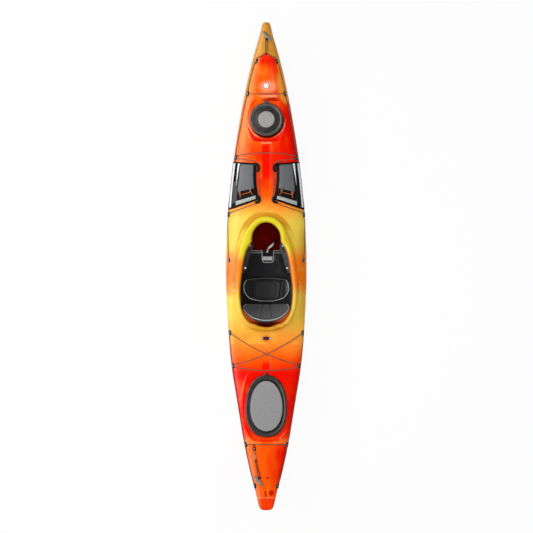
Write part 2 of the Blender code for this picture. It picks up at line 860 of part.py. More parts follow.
BAG_FRAME = ((0.1450, 0.846), (0.0920, 0.838), (0.0660, 0.818), (0.0590, 0.790),
             (0.0590, 0.740), (0.0590, 0.680), (0.0560, 0.620), (0.0500, 0.560),
             (0.0440, 0.528), (0.0560, 0.512), (0.1000, 0.494), (0.1700, 0.470))
for side_name, side in SIDES:
    a = bungee_end("bag_front_eye_" + side_name, -0.011, True)
    b = bungee_end("bag_rear_eye_" + side_name, 0.011, False)
    path = list(a) + [deck_point(side * 0.1900, 0.857, BUNGEE_LIFT)]
    for x, y in BAG_FRAME:
        path.append(deck_point(side * x, y, BUNGEE_LIFT))
    path += over_deck(path[-1], b[0], BUNGEE_LIFT + 0.0008, 0.03)
    cord("bag_bungee_" + side_name, path + b, BUNGEE_R, BUNGEE)

# Deck bags, closed and lying on the foredeck

BAG_CORNERS = ((0.2520, 0.8310), (0.0780, 0.8160), (0.0600, 0.5340), (0.2900, 0.4560))
BAG_EDGE = 0.0055
BAG_BULGE = 0.017


def bag_xy(u, v):
    (ax, ay), (bx, by), (cx, cy), (dx, dy) = BAG_CORNERS
    x = (ax * (1 - u) + bx * u) * (1 - v) + (dx * (1 - u) + cx * u) * v
    y = (ay * (1 - u) + by * u) * (1 - v) + (dy * (1 - u) + cy * u) * v
    x += 0.014 * u ** 3 * math.sin(math.pi * v)
    return x, y


def bag_seat(u):
    """Underside above the deck; the outer hem passes over the perimeter line."""
    t = min(1.0, max(0.0, (u - 0.10) / 0.16))
    return 0.0092 * (1 - t) + 0.0016 * t


def bag_thickness(u, v):
    swell = (math.sin(math.pi * u) * math.sin(math.pi * v)) ** 0.55
    crease = 0.0025 * math.exp(-(((v - 0.80) / 0.05) ** 2))
    return BAG_EDGE + BAG_BULGE * swell - crease * swell


def bag_uv(x, y):
    best = min(
        (math.dist(bag_xy(i / 100, j / 100), (x, y)), i, j)
        for i in range(101) for j in range(101)
    )
    return best[1] / 100, best[2] / 100


BAG_U_SHARES = (0.0, 0.05, 0.12, 0.20, 0.30, 0.45, 0.60, 0.75, 0.87, 0.95, 1.0)
BAG_V_SHARES = (0.0, 0.04, 0.10, 0.20, 0.35, 0.50, 0.65, 0.76, 0.80, 0.85, 0.92, 0.97, 1.0)
# Cord locks and the ends of their cord on each bag, from outer tail to inner tail
LOCK_CORD = ((0.2065, 0.558), (0.2050, 0.574), (0.2040, 0.580), (0.2035, 0.600),
             (0.2000, 0.606), (0.1830, 0.604), (0.1630, 0.606), (0.1440, 0.612),
             (0.1270, 0.619), (0.1230, 0.614), (0.1200, 0.596), (0.1170, 0.590),
             (0.1080, 0.574))
LOCK_RADII = (0.0022, 0.0022, 0.0065, 0.0070, 0.0022, 0.0020, 0.0020, 0.0020,
              0.0022, 0.0070, 0.0065, 0.0022, 0.0022)
for side_name, side in SIDES:

    def bag_top(u, v, side=side):
        x, y = bag_xy(u, v)
        return deck_point(side * x, y, bag_seat(u) + bag_thickness(u, v))

    def bag_under(u, v, side=side):
        x, y = bag_xy(u, v)
        return deck_point(side * x, y, bag_seat(u))

    slab("deck_bag_" + side_name, BAG_U_SHARES, BAG_V_SHARES, bag_top, bag_under, BAG)
    path = []
    for (x, y), radius in zip(LOCK_CORD, LOCK_RADII):
        u, v = bag_uv(x, y)
        lift = bag_seat(u) + bag_thickness(u, v) + 0.0078
        path.append(deck_point(side * x, y, lift))
    turned("bag_cord_" + side_name, path, LOCK_RADII, 8, BAG_CORD)

# Carrying handles


def lay_grip(a, b, radii, spare):
    """Points along a straight grip that just clears the deck."""
    n = len(radii)
    pts = []
    for i in range(n):
        t = i / (n - 1)
        pts.append(Vector((a[0] + (b[0] - a[0]) * t, a[1] + (b[1] - a[1]) * t, 0.0)))
    za = deck_z(*a) + radii[0] + spare
    zb = deck_z(*b) + radii[-1] + spare
    rise = 0.0
    for i, p in enumerate(pts):
        p.z = za + (zb - za) * i / (n - 1)
        rise = max(rise, deck_z(p.x, p.y) + radii[i] + spare - p.z)
    for p in pts:
        p.z += rise
    return pts


GRIP_RADII = (0.0070, 0.0090, 0.0108, 0.0120, 0.0122, 0.0120, 0.0108, 0.0090, 0.0070)


def handle(label, a, b, anchor, joints, strands):
    grip_path = lay_grip(a, b, GRIP_RADII, 0.0012)
    grip = turned(label + "_grip", grip_path, GRIP_RADII, 12, GRIP)
    centre = grip_path[len(grip_path) // 2]
    knot = Vector((joints[-1][0], joints[-1][1], 0.0))
    knot.z = centre.z - 0.001
    inward = (centre - knot).normalized()
    hole = rod("cut_" + label, knot, centre - inward * 0.003, 0.0062, 8)
    boolean(grip, hole, "DIFFERENCE")
    stem_end = centre - inward * 0.0036
    stem = turned(
        label + "_cord",
        [knot - inward * 0.010, knot - inward * 0.006, knot, knot + inward * 0.006,
         stem_end],
        (0.0045, 0.0075, 0.0080, 0.0055, 0.0055),
        8,
        LINE,
    )
    for k, path in enumerate(strands(knot, inward, anchor)):
        boolean(stem, cord("strand_%s_%d" % (label, k), path, LINE_R, None, True), "UNION")


def bow_strands(knot, inward, anchor):
    """Cord doubled round the apex of the perimeter line."""
    lift = LINE_LIFT + 2 * LINE_R + 0.0006
    path = []
    foot = knot - inward * 0.004
    for side in (-1, 1):
        leg = []
        for t in (0.0, 0.12, 0.4, 0.7, 0.92):
            x = side * (0.0034 + 0.0012 * t)
            y = foot.y + (anchor[1] - foot.y) * t
            p = deck_point(x, y, lift)
            p.x += foot.x * (1 - t)
            p.z = max(p.z, foot.z * (1 - t * 3) + p.z * t * 3) if t < 0.33 else p.z
            leg.append(p)
        path.append(leg)
    left, right = path
    tip = [deck_point(x, anchor[1] - dy, lift)
           for x, dy in ((-0.0040, 0.0045), (0.0, 0.0070), (0.0040, 0.0045))]
    return [left + tip + right[::-1]]


def stern_strands(knot, inward, anchor):
    """Single cord from the eye to a knot, doubled from there to the grip."""
    foot = knot - inward * 0.004
    mid = (-0.0829, -1.555)
    lift = LINE_LIFT + 0.002
    eye = STERN_EYE_PLACE
    single = [eye @ Vector((0.0, -y, 0.005)) for y in (0.0175, 0.0280)]
    single += over_deck(single[-1], mid, lift, 0.03)
    knot_b = deck_point(*mid, lift + 0.003)
    doubles = []
    for side in (-1, 1):
        strand = [knot_b + Vector((side * 0.002, 0.002, 0.0))]
        for t in (0.15, 0.4, 0.65, 0.85):
            x = mid[0] + (foot.x - mid[0]) * t + side * 0.0036
            y = mid[1] + (foot.y - mid[1]) * t
            strand.append(deck_point(x, y, lift + 0.002 * t))
        strand.append(foot + Vector((side * 0.003, 0.0, 0.0)))
        doubles.append(strand)
    return [single + [knot_b + Vector((0.0, -0.002, 0.0))]] + doubles


handle("bow_handle", (-0.0319, 1.8670), (0.0478, 1.7930), (0.0, APEX_Y), ((0.0025, 1.8060),),
       bow_strands)
STERN_EYE = (-0.0917, STERN_HATCH_REAR - 0.0938)
STERN_EYE_PLACE = deck_frame(*STERN_EYE, math.radians(5.0))
eye = block("stern_handle_eye", STERN_EYE_PLACE, 0.014, 0.009, 0.010, NYLON)
boolean(
    eye,
    rod(
        "cut_stern_handle_eye",
        STERN_EYE_PLACE @ Vector((0.0, -0.03, 0.005)),
        STERN_EYE_PLACE @ Vector((0.0, -0.003, 0.005)),
        LINE_R + 0.0008,
        8,
    ),
    "DIFFERENCE",
)
handle("stern_handle", (-0.0980, -1.6690), (-0.0295, -1.7480), STERN_EYE,
       ((-0.0560, -1.6850),), stern_strands)

# Fitting behind the cockpit
rear_place = deck_frame(0.0, -0.5747, math.radians(90.0), 0.0014)
rear_fitting = block("rear_deck_fitting", rear_place, 0.040, 0.0115, 0.012, NYLON, 4)
for k in (-1, 1):
    slot = box(
        "cut_rear_fitting_%d" % k,
        (k * 0.012 - 0.0065, -0.5747 - 0.0045, deck_z(0, -0.5747) + 0.0045),
        (k * 0.012 + 0.0065, -0.5747 + 0.0045, 0.4),
        cutter=True,
    )
    boolean(rear_fitting, slot, "DIFFERENCE")

# Seat

SEAT_T = 0.005
SEAT_HALF_WIDTH = 0.196
SEAT_CORNER = 0.040
# Station, height of the floor, top of the cheeks, width of the hanging flange
SEAT_STATIONS = (
    (-0.430, 0.034, 0.110, 0.006), (-0.395, 0.030, 0.190, 0.006),
    (-0.350, 0.030, 0.255, 0.006), (-0.226, 0.030, 0.272, 0.006),
    (-0.220, 0.030, 0.272, 0.066), (-0.120, 0.030, 0.272, 0.066),
    (-0.114, 0.030, 0.272, 0.006), (-0.070, 0.030, 0.240, 0.006),
    (-0.050, 0.031, 0.130, 0.006), (0.010, 0.044, 0.090, 0.006),
    (0.130, 0.070, 0.100, 0.006),
)


def seat_width(y):
    return SEAT_HALF_WIDTH - 0.040 * max(0.0, (y + 0.05) / 0.18)


def seat_floor(y):
    """Height of the top of the seat's floor."""
    rows = SEAT_STATIONS
    k = 0
    while k < len(rows) - 2 and rows[k + 1][0] < y:
        k += 1
    t = (y - rows[k][0]) / (rows[k + 1][0] - rows[k][0])
    return rows[k][1] + (rows[k + 1][1] - rows[k][1]) * t + SEAT_T


rings = []
for y, low, high, flange in SEAT_STATIONS:
    w = seat_width(y)
    t = SEAT_T
    tilt = 0.06 * flange
    inner = [
        (w - t, high - t), (w - t, low + 0.035), (w - 0.036, low + t),
    ]
    outer = [
        (w - 0.033, low), (w, low + 0.033), (w, high - t - 0.002),
        (w + flange, high - t - 0.002 + tilt), (w + flange, high + tilt), (w - t, high),
    ]
    ring = inner[::-1] + outer[::-1]
    ring += [(-x, z) for x, z in outer + inner]
    rings.append([(x, y, z) for x, z in ring])
seat_pan = loft("seat_pan", rings, SEAT_PLASTIC)
runner = box("seat_runner", (-0.034, -0.36, WALL + GAP), (0.034, -0.02, 0.0330), cutter=True)
boolean(seat_pan, runner, "UNION")

# Cushion with two sewn darts

CUSHION_SIDE_ROOM = 0.013
CUSHION_HALF_WIDTH = SEAT_HALF_WIDTH - CUSHION_SIDE_ROOM
# Station and how far the side stands in from the widest place
CUSHION_SIDE = ((-0.290, 0.113), (-0.275, 0.079), (-0.255, 0.048), (-0.230, 0.023),
                (-0.200, 0.006), (-0.171, 0.000), (-0.130, 0.002), (-0.084, 0.011))


def cushion_point(u, v, inset, z_of):
    front = -0.0860 - 0.016 * u * u - inset
    rear = -0.2790 + 0.022 * u ** 4 + inset
    y = front + (rear - front) * v
    x = u * (CUSHION_HALF_WIDTH - curve_value(CUSHION_SIDE, y) - inset)
    return (x, y, z_of(u, v, x, y))


def corner_rise(x):
    return max(0.0, abs(x) - (SEAT_HALF_WIDTH - SEAT_CORNER)) * 1.05


def cushion_top(u, v, x, y):
    edge = min(1.0, 6.0 * min(v, 1 - v, 0.5 * (1 - abs(u))))
    dart = 0.0050 * math.exp(-(((abs(u) - 0.74) / 0.045) ** 2)) * (1.0 if 0.03 < v < 0.97 else 0)
    dish = 0.016 * (abs(x) / 0.18) ** 2
    return 0.0353 + 0.012 + corner_rise(x) * 0.6 + dish + 0.018 * edge ** 0.5 - dart


def cushion_under(u, v, x, y):
    return 0.0356 + corner_rise(x)


CUSHION_U_SHARES = (-1.0, -0.96, -0.88, -0.80, -0.74, -0.68, -0.5, -0.25, 0.0,
              0.25, 0.5, 0.68, 0.74, 0.80, 0.88, 0.96, 1.0)
CUSHION_V_SHARES = (0.0, 0.03, 0.09, 0.20, 0.40, 0.60, 0.80, 0.91, 0.97, 1.0)
slab(
    "seat_cushion", CUSHION_U_SHARES, CUSHION_V_SHARES,
    lambda u, v: cushion_point(u, v, 0.0, cushion_top),
    lambda u, v: cushion_point(u, v, 0.005, cushion_under),
    PAD,
)

# Leg lifter, hinged at its rear edge, with a notch for the strap

LIFTER_REAR = -0.080
LIFTER_FRONT = 0.1270
LIFTER_HALF_WIDTH = SEAT_HALF_WIDTH - 0.028
LIFTER_TAPER = 0.036
NOTCH_HALF_WIDTH = 0.044
NOTCH_SHARE = 0.31
LIFTER_U_SHARES = (-1.0, -0.97, -0.90, -0.72, -0.50, -0.36, -NOTCH_SHARE, 0.0,
             NOTCH_SHARE, 0.36, 0.50, 0.72, 0.90, 0.97, 1.0)
LIFTER_V_SHARES = (0.0, 0.03, 0.09, 0.25, 0.45, 0.545, 0.60, 0.80, 0.92, 0.97, 1.0)


def lifter_point(u, v, inset, top):
    y = LIFTER_REAR + inset + (LIFTER_FRONT - LIFTER_REAR - 2 * inset) * v
    w = LIFTER_HALF_WIDTH - LIFTER_TAPER * v - inset
    notch = NOTCH_HALF_WIDTH + inset
    if abs(u) <= NOTCH_SHARE:
        x = u / NOTCH_SHARE * notch
    else:
        past = (abs(u) - NOTCH_SHARE) / (1 - NOTCH_SHARE)
        x = math.copysign(notch + past * (w - notch), u)
    floor = seat_floor(y)
    corner = max(0.0, abs(x) - (seat_width(y) - 0.041)) * 1.1
    if not top:
        return (x, y, floor + 0.0008 + corner)
    edge = min(1.0, 7.0 * min(v, 1 - v, 0.5 * (1 - abs(u))))
    if v > 0.54 and abs(u) < 0.5:
        edge = min(edge, max(0.15, (abs(u) - NOTCH_SHARE) * 7.0))
    return (x, y, floor + 0.012 + corner * 0.5 + 0.015 * edge ** 0.5)


def in_notch(i, j):
    return 6 <= i <= 7 and j >= 5


slab(
    "leg_lifter", LIFTER_U_SHARES, LIFTER_V_SHARES,
    lambda u, v: lifter_point(u, v, 0.0, True),
    lambda u, v: lifter_point(u, v, 0.004, False),
    PAD, in_notch,
)

# Buckle and free strap end of the leg lifter
buckle_z = seat_floor(0.129) + 0.0008
buckle = box("lifter_buckle", (-0.0050, 0.1110, buckle_z), (0.0260, 0.1290, buckle_z + 0.0075),
             SEAT_PLASTIC)
for k in (0, 1):
    boolean(
        buckle,
        box(
            "cut_buckle_%d" % k,
            (-0.0008, 0.1140 + 0.0070 * k, buckle_z - 0.01),
            (0.0218, 0.1175 + 0.0070 * k, buckle_z + 0.02),
            cutter=True,
        ),
        "DIFFERENCE",
    )
STRAP = ((0.0105, 0.1160, 0.0020), (0.0115, 0.1240, 0.0040), (0.0130, 0.1360, 0.0100),
         (0.0180, 0.1500, 0.0160), (0.0290, 0.1690, 0.0200), (0.0480, 0.1880, 0.0190),
         (0.0700, 0.2030, 0.0130), (0.0900, 0.2130, 0.0040))
rings = []
for i, (x, y, up) in enumerate(STRAP):
    ahead = STRAP[min(i + 1, len(STRAP) - 1)]
    behind = STRAP[max(i - 1, 0)]
    run = Vector((ahead[0] - behind[0], ahead[1] - behind[1], ahead[2] - behind[2])).normalized()
    across = Vector((0, 0, 1)).cross(run).normalized()
    rise = run.cross(across)
    base = Vector((x, y, buckle_z + 0.0082 + up))
    w = 0.0095
    rings.append([base - across * w - rise * 0.0008, base + across * w - rise * 0.0008,
                  base + across * w + rise * 0.0008, base - across * w + rise * 0.0008])
loft("lifter_strap", rings, WEBBING)

# Backrest, leaning on its strap

BACK_FOOT_Y = -0.298
BACK_FOOT_Z = 0.104
BACK_SIDE_ROOM = 0.016
BACK_HALF_WIDTH = SEAT_HALF_WIDTH - BACK_SIDE_ROOM
# Share of the height and how far the side stands in from the widest place
BACK_SIDE = ((0.0, 0.022), (0.12, 0.010), (0.30, 0.000), (0.50, 0.000), (0.70, 0.012),
             (0.85, 0.035), (0.95, 0.065), (1.0, 0.090))


def back_point(u, v, depth, shrink=0.0):
    w = BACK_HALF_WIDTH - curve_value(BACK_SIDE, v) - shrink
    seam = (0.027 + 0.022 * v) / w
    a = abs(u)
    if a <= 0.3:
        s = a / 0.3 * seam
    else:
        s = seam + (a - 0.3) / 0.7 * (1 - seam)
    x = math.copysign(s * w, u) if u else 0.0
    run = 0.128 - 0.085 * (x / BACK_HALF_WIDTH) ** 2
    y = BACK_FOOT_Y - v * run - depth * 0.83
    z = BACK_FOOT_Z + 0.186 * v - depth * 0.56
    return (x, y, z)


def back_front(u, v):
    edge = min(1.0, 6.0 * min(v, 1 - v, 0.5 * (1 - abs(u))))
    seam = 0.004 * math.exp(-(((abs(u) - 0.30) / 0.05) ** 2)) * (1.0 if 0.04 < v < 0.96 else 0)
    return back_point(u, v, 0.009 * (1 - edge ** 0.5) + seam)


BACK_U_SHARES = (-1.0, -0.96, -0.86, -0.62, -0.36, -0.30, -0.24, 0.0,
           0.24, 0.30, 0.36, 0.62, 0.86, 0.96, 1.0)
BACK_V_SHARES = (0.0, 0.04, 0.12, 0.30, 0.50, 0.70, 0.85, 0.95, 1.0)
slab(
    "backrest_pad", BACK_U_SHARES, BACK_V_SHARES, back_front,
    lambda u, v: back_point(u, v, 0.024, 0.003), PAD,
)
FRAME_U_SHARES = (-1.0, -0.80, -0.55, -0.30, 0.0, 0.30, 0.55, 0.80, 1.0)
FRAME_V_SHARES = (0.0, 0.30, 0.60, 0.85, 1.0)
slab(
    "backrest_frame", FRAME_U_SHARES, FRAME_V_SHARES,
    lambda u, v: back_point(u, v, 0.0285, 0.004),
    lambda u, v: back_point(u, v, 0.0330, 0.004),
    SEAT_PLASTIC,
)
LOOP = ((-0.047, 0.0), (-0.047, 0.024), (-0.040, 0.030), (0.040, 0.030), (0.047, 0.024),
        (0.047, 0.0))
rings = []
for i, (x, back) in enumerate(LOOP):
    ahead = LOOP[min(i + 1, len(LOOP) - 1)]
    behind = LOOP[max(i - 1, 0)]
    dx = ahead[0] - behind[0]
    dy = -(ahead[1] - behind[1])
    size = math.hypot(dx, dy)
    nx, ny = dy / size * 0.0012, -dx / size * 0.0012
    y = -0.4386 - back * 0.45
    z = 0.232
    rings.append([(x - nx, y - ny, z), (x + nx, y + ny, z), (x + nx, y + ny, z + 0.022),
                  (x - nx, y - ny, z + 0.022)])
loft("backrest_loop", rings, SEAT_PLASTIC)

# Foot rails with sliding pedals

RAIL_Z = 0.135
RAIL_REAR = 0.520
RAIL_FRONT = 0.880
RAIL_DEPTH = 0.012
RAIL_HEIGHT = 0.028


def inner_wall_x(y, z):
    """Half-width inside the shell below the sheer, measured on its facets."""
    pts = section(y, WALL, *INNER_STEPS)[: INNER_STEPS[0] + 1]
    for p, q in zip(pts, pts[1:]):
        if p[1] <= z <= q[1]:
            return p[0] + (q[0] - p[0]) * (z - p[1]) / (q[1] - p[1])
    return pts[-1][0]


def rail_x(y):
    heights = (RAIL_Z - RAIL_HEIGHT / 2, RAIL_Z, RAIL_Z + RAIL_HEIGHT / 2)
    return min(inner_wall_x(y, z) for z in heights) - 0.0009


RAIL_DIR = Vector((rail_x(RAIL_FRONT) - rail_x(RAIL_REAR), RAIL_FRONT - RAIL_REAR, 0.0))
RAIL_DIR.normalize()
for side_name, side in SIDES:
    along = Vector((side * RAIL_DIR.x, RAIL_DIR.y, 0.0))
    inboard = Vector((-side * RAIL_DIR.y, RAIL_DIR.x, 0.0))
    start = Vector((side * rail_x(RAIL_REAR), RAIL_REAR, RAIL_Z))
    stop = Vector((side * rail_x(RAIL_FRONT), RAIL_FRONT, RAIL_Z))

    def bar(name, a, b, near, far, low, high, look=None, cutter=False):
        rings = []
        for p in (a, b):
            ring = []
            for depth, up in ((near, low), (far, low), (far, high), (near, high)):
                ring.append(p + inboard * depth + Vector((0, 0, up)))
            rings.append(ring)
        return loft(name, rings, look, cutter)

    h = RAIL_HEIGHT / 2
    bar("foot_rail_" + side_name, start, stop, 0.0, RAIL_DEPTH, -h, h, RAIL)
    middle = (start + stop) / 2
    pedal = bar(
        "foot_pedal_" + side_name, middle - along * 0.024, middle + along * 0.024,
        0.0045, RAIL_DEPTH + 0.008, -h - 0.008, h + 0.008, NYLON,
    )
    groove = bar(
        "cut_pedal_" + side_name, middle - along * 0.05, middle + along * 0.05,
        -0.01, RAIL_DEPTH + 0.0004, -h - 0.0004, h + 0.0004, cutter=True,
    )
    boolean(pedal, groove, "DIFFERENCE")
    plate = loft(
        "plate_pedal_" + side_name,
        [
            [
                middle + along * (dy + up * 0.25) + inboard * depth + Vector((0, 0, up))
                for depth, dy in ((RAIL_DEPTH + 0.004, -0.004), (0.090, -0.004),
                                  (0.090, 0.004), (RAIL_DEPTH + 0.004, 0.004))
            ]
            for up in (-0.045, 0.060)
        ],
        cutter=True,
    )
    boolean(pedal, plate, "UNION")

# Thigh braces under the rim, with slots for their screws

BRACE_PATH = ((0.128, 0.186), (0.143, 0.160), (0.161, 0.125), (0.176, 0.080),
              (0.188, 0.020), (0.197, -0.050))
BRACE_WIDTH = (0.026, 0.038, 0.042, 0.042, 0.040, 0.026)
BRACE_DROP = 0.0226
BRACE_T = 0.007
BRACE_SCREWS = ((0.1345, 0.1500), (0.1660, -0.0120))


def brace_z(x, y, inboard):
    return coaming_z(y) - BRACE_DROP - 0.20 * inboard


for side_name, side in SIDES:
    rings = []
    for i, (x, y) in enumerate(BRACE_PATH):
        nx, ny = outward(list(BRACE_PATH), min(max(i, 1), len(BRACE_PATH) - 2))
        w = BRACE_WIDTH[i]
        ox, oy = x + nx * 0.002, y + ny * 0.002
        ix, iy = x - nx * w, y - ny * w
        zo = brace_z(ox, oy, 0.0)
        zi = brace_z(ix, iy, w)
        rings.append([
            (side * ox, oy, zo - BRACE_T), (side * ox, oy, zo),
            (side * ix, iy, zi), (side * ix, iy, zi - BRACE_T),
        ])
    brace = loft("thigh_brace_" + side_name, rings, SEAT_PLASTIC)
    for k, (x, y) in enumerate(BRACE_SCREWS):
        dx, dy = 0.259, -0.966
        ends = []
        for s in (-1, 1):
            ends.append((side * (x + s * dx * 0.023), y + s * dy * 0.023))
        (x0, y0), (x1, y1) = ends
        px, py = dy * 0.003, -dx * 0.003 * side
        px = px * side
        outline = [(x0 + px, y0 + py), (x1 + px, y1 + py), (x1 - px, y1 - py),
                   (x0 - px, y0 - py)]
        slot = prism("cut_brace_%s_%d" % (side_name, k), outline, 0.2, 0.5)
        boolean(brace, slot, "DIFFERENCE")

# Smooth shading
for made in PARTS.objects:
    if made.type == "MESH":
        for face in made.data.polygons:
            face.use_smooth = True
        made.data.set_sharp_from_angle(angle=math.radians(35))
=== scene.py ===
"""Looks of the day touring kayak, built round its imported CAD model.

Metres. +Z is up, +Y is the bow, +X is starboard, and the keel stands on z = 0.
"""

import math

import bmesh
import bpy
from mathutils import Matrix, Vector, noise


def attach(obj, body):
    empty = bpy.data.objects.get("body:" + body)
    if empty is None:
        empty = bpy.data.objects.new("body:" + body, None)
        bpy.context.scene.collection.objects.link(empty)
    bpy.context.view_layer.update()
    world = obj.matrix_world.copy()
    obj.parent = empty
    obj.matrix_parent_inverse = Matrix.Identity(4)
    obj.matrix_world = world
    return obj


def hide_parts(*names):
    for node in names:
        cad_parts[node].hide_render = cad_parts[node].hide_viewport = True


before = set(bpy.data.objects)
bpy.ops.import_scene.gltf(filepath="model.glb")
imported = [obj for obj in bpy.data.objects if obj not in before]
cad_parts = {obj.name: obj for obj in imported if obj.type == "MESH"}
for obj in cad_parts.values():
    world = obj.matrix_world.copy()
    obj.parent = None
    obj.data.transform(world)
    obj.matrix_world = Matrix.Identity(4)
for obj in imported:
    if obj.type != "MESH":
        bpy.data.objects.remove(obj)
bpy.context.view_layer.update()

# Driving dimensions, as in the CAD model

LENGTH = 3.89
HALF = LENGTH / 2.0
BEAM = 0.646
WALL = 0.0048
KEEL_FLAT_HALF_LENGTH = 0.9
# Half the beam in plan at stations along the centreline, as a share of half the beam
PLAN = (
    (-1.0, 0.155), (-0.97, 0.205), (-0.92, 0.275), (-0.871, 0.356),
    (-0.822, 0.43), (-0.772, 0.493), (-0.723, 0.553), (-0.625, 0.654),
    (-0.527, 0.751), (-0.428, 0.848), (-0.33, 0.913), (-0.232, 0.953),
    (-0.133, 0.984), (-0.05, 1.0), (0.045, 1.0), (0.113, 0.988),
    (0.211, 0.95), (0.309, 0.905), (0.408, 0.838), (0.506, 0.752),
    (0.605, 0.653), (0.703, 0.542), (0.802, 0.41), (0.85, 0.336),
    (0.9, 0.25), (0.948, 0.165), (1.0, 0.092),
)
# Height of the deck on the centreline
DECK_LINE = (
    (-1.0, 0.336), (-0.8, 0.321), (-0.56, 0.305), (-0.36, 0.292),
    (-0.265, 0.288), (0.0, 0.322), (0.205, 0.356), (0.4, 0.353),
    (0.62, 0.347), (0.82, 0.357), (1.0, 0.374),
)
SHEER_MID = 0.232
SHEER_RISE_BOW = 0.102
SHEER_RISE_STERN = 0.072
STEM_FOOT = 0.29
STERN_FOOT = 0.255
TIP_ROUND = 0.045
TIP_NOSE = 0.012
TIP_DROP = 0.016

COAMING_FRONT_Y = 0.398
COAMING_REAR_Y = -0.516
COAMING_WIDEST_Y = -0.21
COAMING_HALF_WIDTH = 0.2458
COAMING_FRONT_Z = 0.389
COAMING_REAR_Z = 0.319
COAMING_LIP = 0.022
# Inner edge of the cockpit rim, starboard half, from front to rear
COCKPIT_MOUTH = (
    (0.0, 0.3515), (0.03, 0.346), (0.058, 0.331), (0.082, 0.309),
    (0.1, 0.282), (0.11, 0.255), (0.113, 0.225), (0.114, 0.198),
    (0.132, 0.17), (0.154, 0.13), (0.17, 0.08), (0.182, 0.02),
    (0.191, -0.05), (0.199, -0.11), (0.205, -0.17), (0.2055, -0.23),
    (0.2, -0.3), (0.189, -0.356), (0.167, -0.402), (0.137, -0.437),
    (0.1, -0.456), (0.074, -0.462), (0.056, -0.472), (0.03, -0.48),
    (0.0, -0.4826),
)

BOW_HATCH_Y = 1.171
BOW_HATCH_R = 0.1325
BOW_HATCH_FRONT = BOW_HATCH_Y + BOW_HATCH_R
BOW_SHELF_Z = 0.333
STERN_HATCH_Y = -1.114
STERN_HATCH_HALF_WIDTH = 0.165
STERN_HATCH_HALF_LENGTH = 0.2475
STERN_HATCH_FRONT = STERN_HATCH_Y + STERN_HATCH_HALF_LENGTH
STERN_HATCH_REAR = STERN_HATCH_Y - STERN_HATCH_HALF_LENGTH
STERN_SHELF_Z = 0.293
STERN_HATCH_POWER = 2.3
STERN_HATCH_EGG = 0.05
DISC_Y = 1.439
COLLAR_HEIGHT = 0.019
COLLAR_INSET = 0.0125
COLLAR_WALL = 0.006
RUDDER_STEP_Y = -1.849
RUDDER_STEP_Z = 0.322

SIDES = (("port", -1), ("starboard", 1))
CORNERS = ((-1, -1), (1, -1), (1, 1), (-1, 1))
UP = Vector((0, 0, 1))


# Curves and the plain deck


def clamp(v):
    return min(1.0, max(0.0, v))


def ramp(start, stop, v):
    """0 at start, 1 at stop, straight between them."""
    return clamp((v - start) / (stop - start))


def ease(start, stop, v):
    t = ramp(start, stop, v)
    return t * t * (3.0 - 2.0 * t)


def within(v, low, low_in, high_in, high):
    """1 from low_in to high_in, easing to 0 at low and at high."""
    return ease(low, low_in, v) * ease(high, high_in, v)


def curve_value(table, s):
    """Monotone cubic through the table's points."""
    if s <= table[0][0]:
        return table[0][1]
    if s >= table[-1][0]:
        return table[-1][1]
    k = 0
    while table[k + 1][0] < s:
        k += 1

    def slope(i):
        if i <= 0 or i >= len(table) - 1:
            j = min(max(i, 1), len(table) - 1)
            return (table[j][1] - table[j - 1][1]) / (table[j][0] - table[j - 1][0])
        d0 = (table[i][1] - table[i - 1][1]) / (table[i][0] - table[i - 1][0])
        d1 = (table[i + 1][1] - table[i][1]) / (table[i + 1][0] - table[i][0])
        if d0 * d1 <= 0.0:
            return 0.0
        return 2.0 * d0 * d1 / (d0 + d1)

    x0, y0 = table[k]
    x1, y1 = table[k + 1]
    h = x1 - x0
    t = (s - x0) / h
    a = 2 * t ** 3 - 3 * t ** 2 + 1
    b = t ** 3 - 2 * t ** 2 + t
    c = -2 * t ** 3 + 3 * t ** 2
    d = t ** 3 - t ** 2
    return a * y0 + b * slope(k) * h + c * y1 + d * slope(k + 1) * h


def tip_share(y):
    """0 along the boat, rising to 1 over the last rounding of either tip."""
    return max(0.0, 1.0 - max(0.0, HALF - abs(y)) / TIP_ROUND)


def half_beam(y):
    blunt = max(0.05, (1.0 - tip_share(y) ** 4) ** 0.25)
    return curve_value(PLAN, y / HALF) * BEAM / 2.0 * blunt


def sheer_z(y):
    t = abs(y) / HALF
    rise = SHEER_RISE_BOW if y > 0 else SHEER_RISE_STERN
    return SHEER_MID + rise * t * t


def keel_z(y):
    t = (abs(y) - KEEL_FLAT_HALF_LENGTH) / (HALF - KEEL_FLAT_HALF_LENGTH)
    if t <= 0.0:
        return 0.0
    foot = STEM_FOOT if y > 0 else STERN_FOOT
    power = 2.5 if y > 0 else 3.0
    return foot * (1.0 - math.sqrt(max(0.0, 1.0 - min(1.0, t) ** power)))


def deck_line_z(y):
    drop = TIP_DROP * (1.0 - math.sqrt(max(0.0, 1.0 - tip_share(y) ** 2)))
    return curve_value(DECK_LINE, y / HALF) - drop


def deck_power(y):
    return 2.45 - 0.35 * (abs(y) / HALF) ** 2


def bottom_power(y):
    return 3.1 - 1.0 * (abs(y) / HALF) ** 1.5


def deck_z(x, y):
    """Height of the plain deck."""
    t = min(1.0, abs(x) / half_beam(y))
    n = deck_power(y)
    return sheer_z(y) + (deck_line_z(y) - sheer_z(y)) * (1.0 - t ** n) ** (1.0 / n)


def deck_normal(x, y):
    e = 0.002
    dx = (deck_z(x + e, y) - deck_z(x - e, y)) / (2 * e)
    dy = (deck_z(x, y + e) - deck_z(x, y - e)) / (2 * e)
    return Vector((-dx, -dy, 1.0)).normalized()


def deck_point(x, y, lift):
    return Vector((x, y, deck_z(x, y))) + deck_normal(x, y) * lift


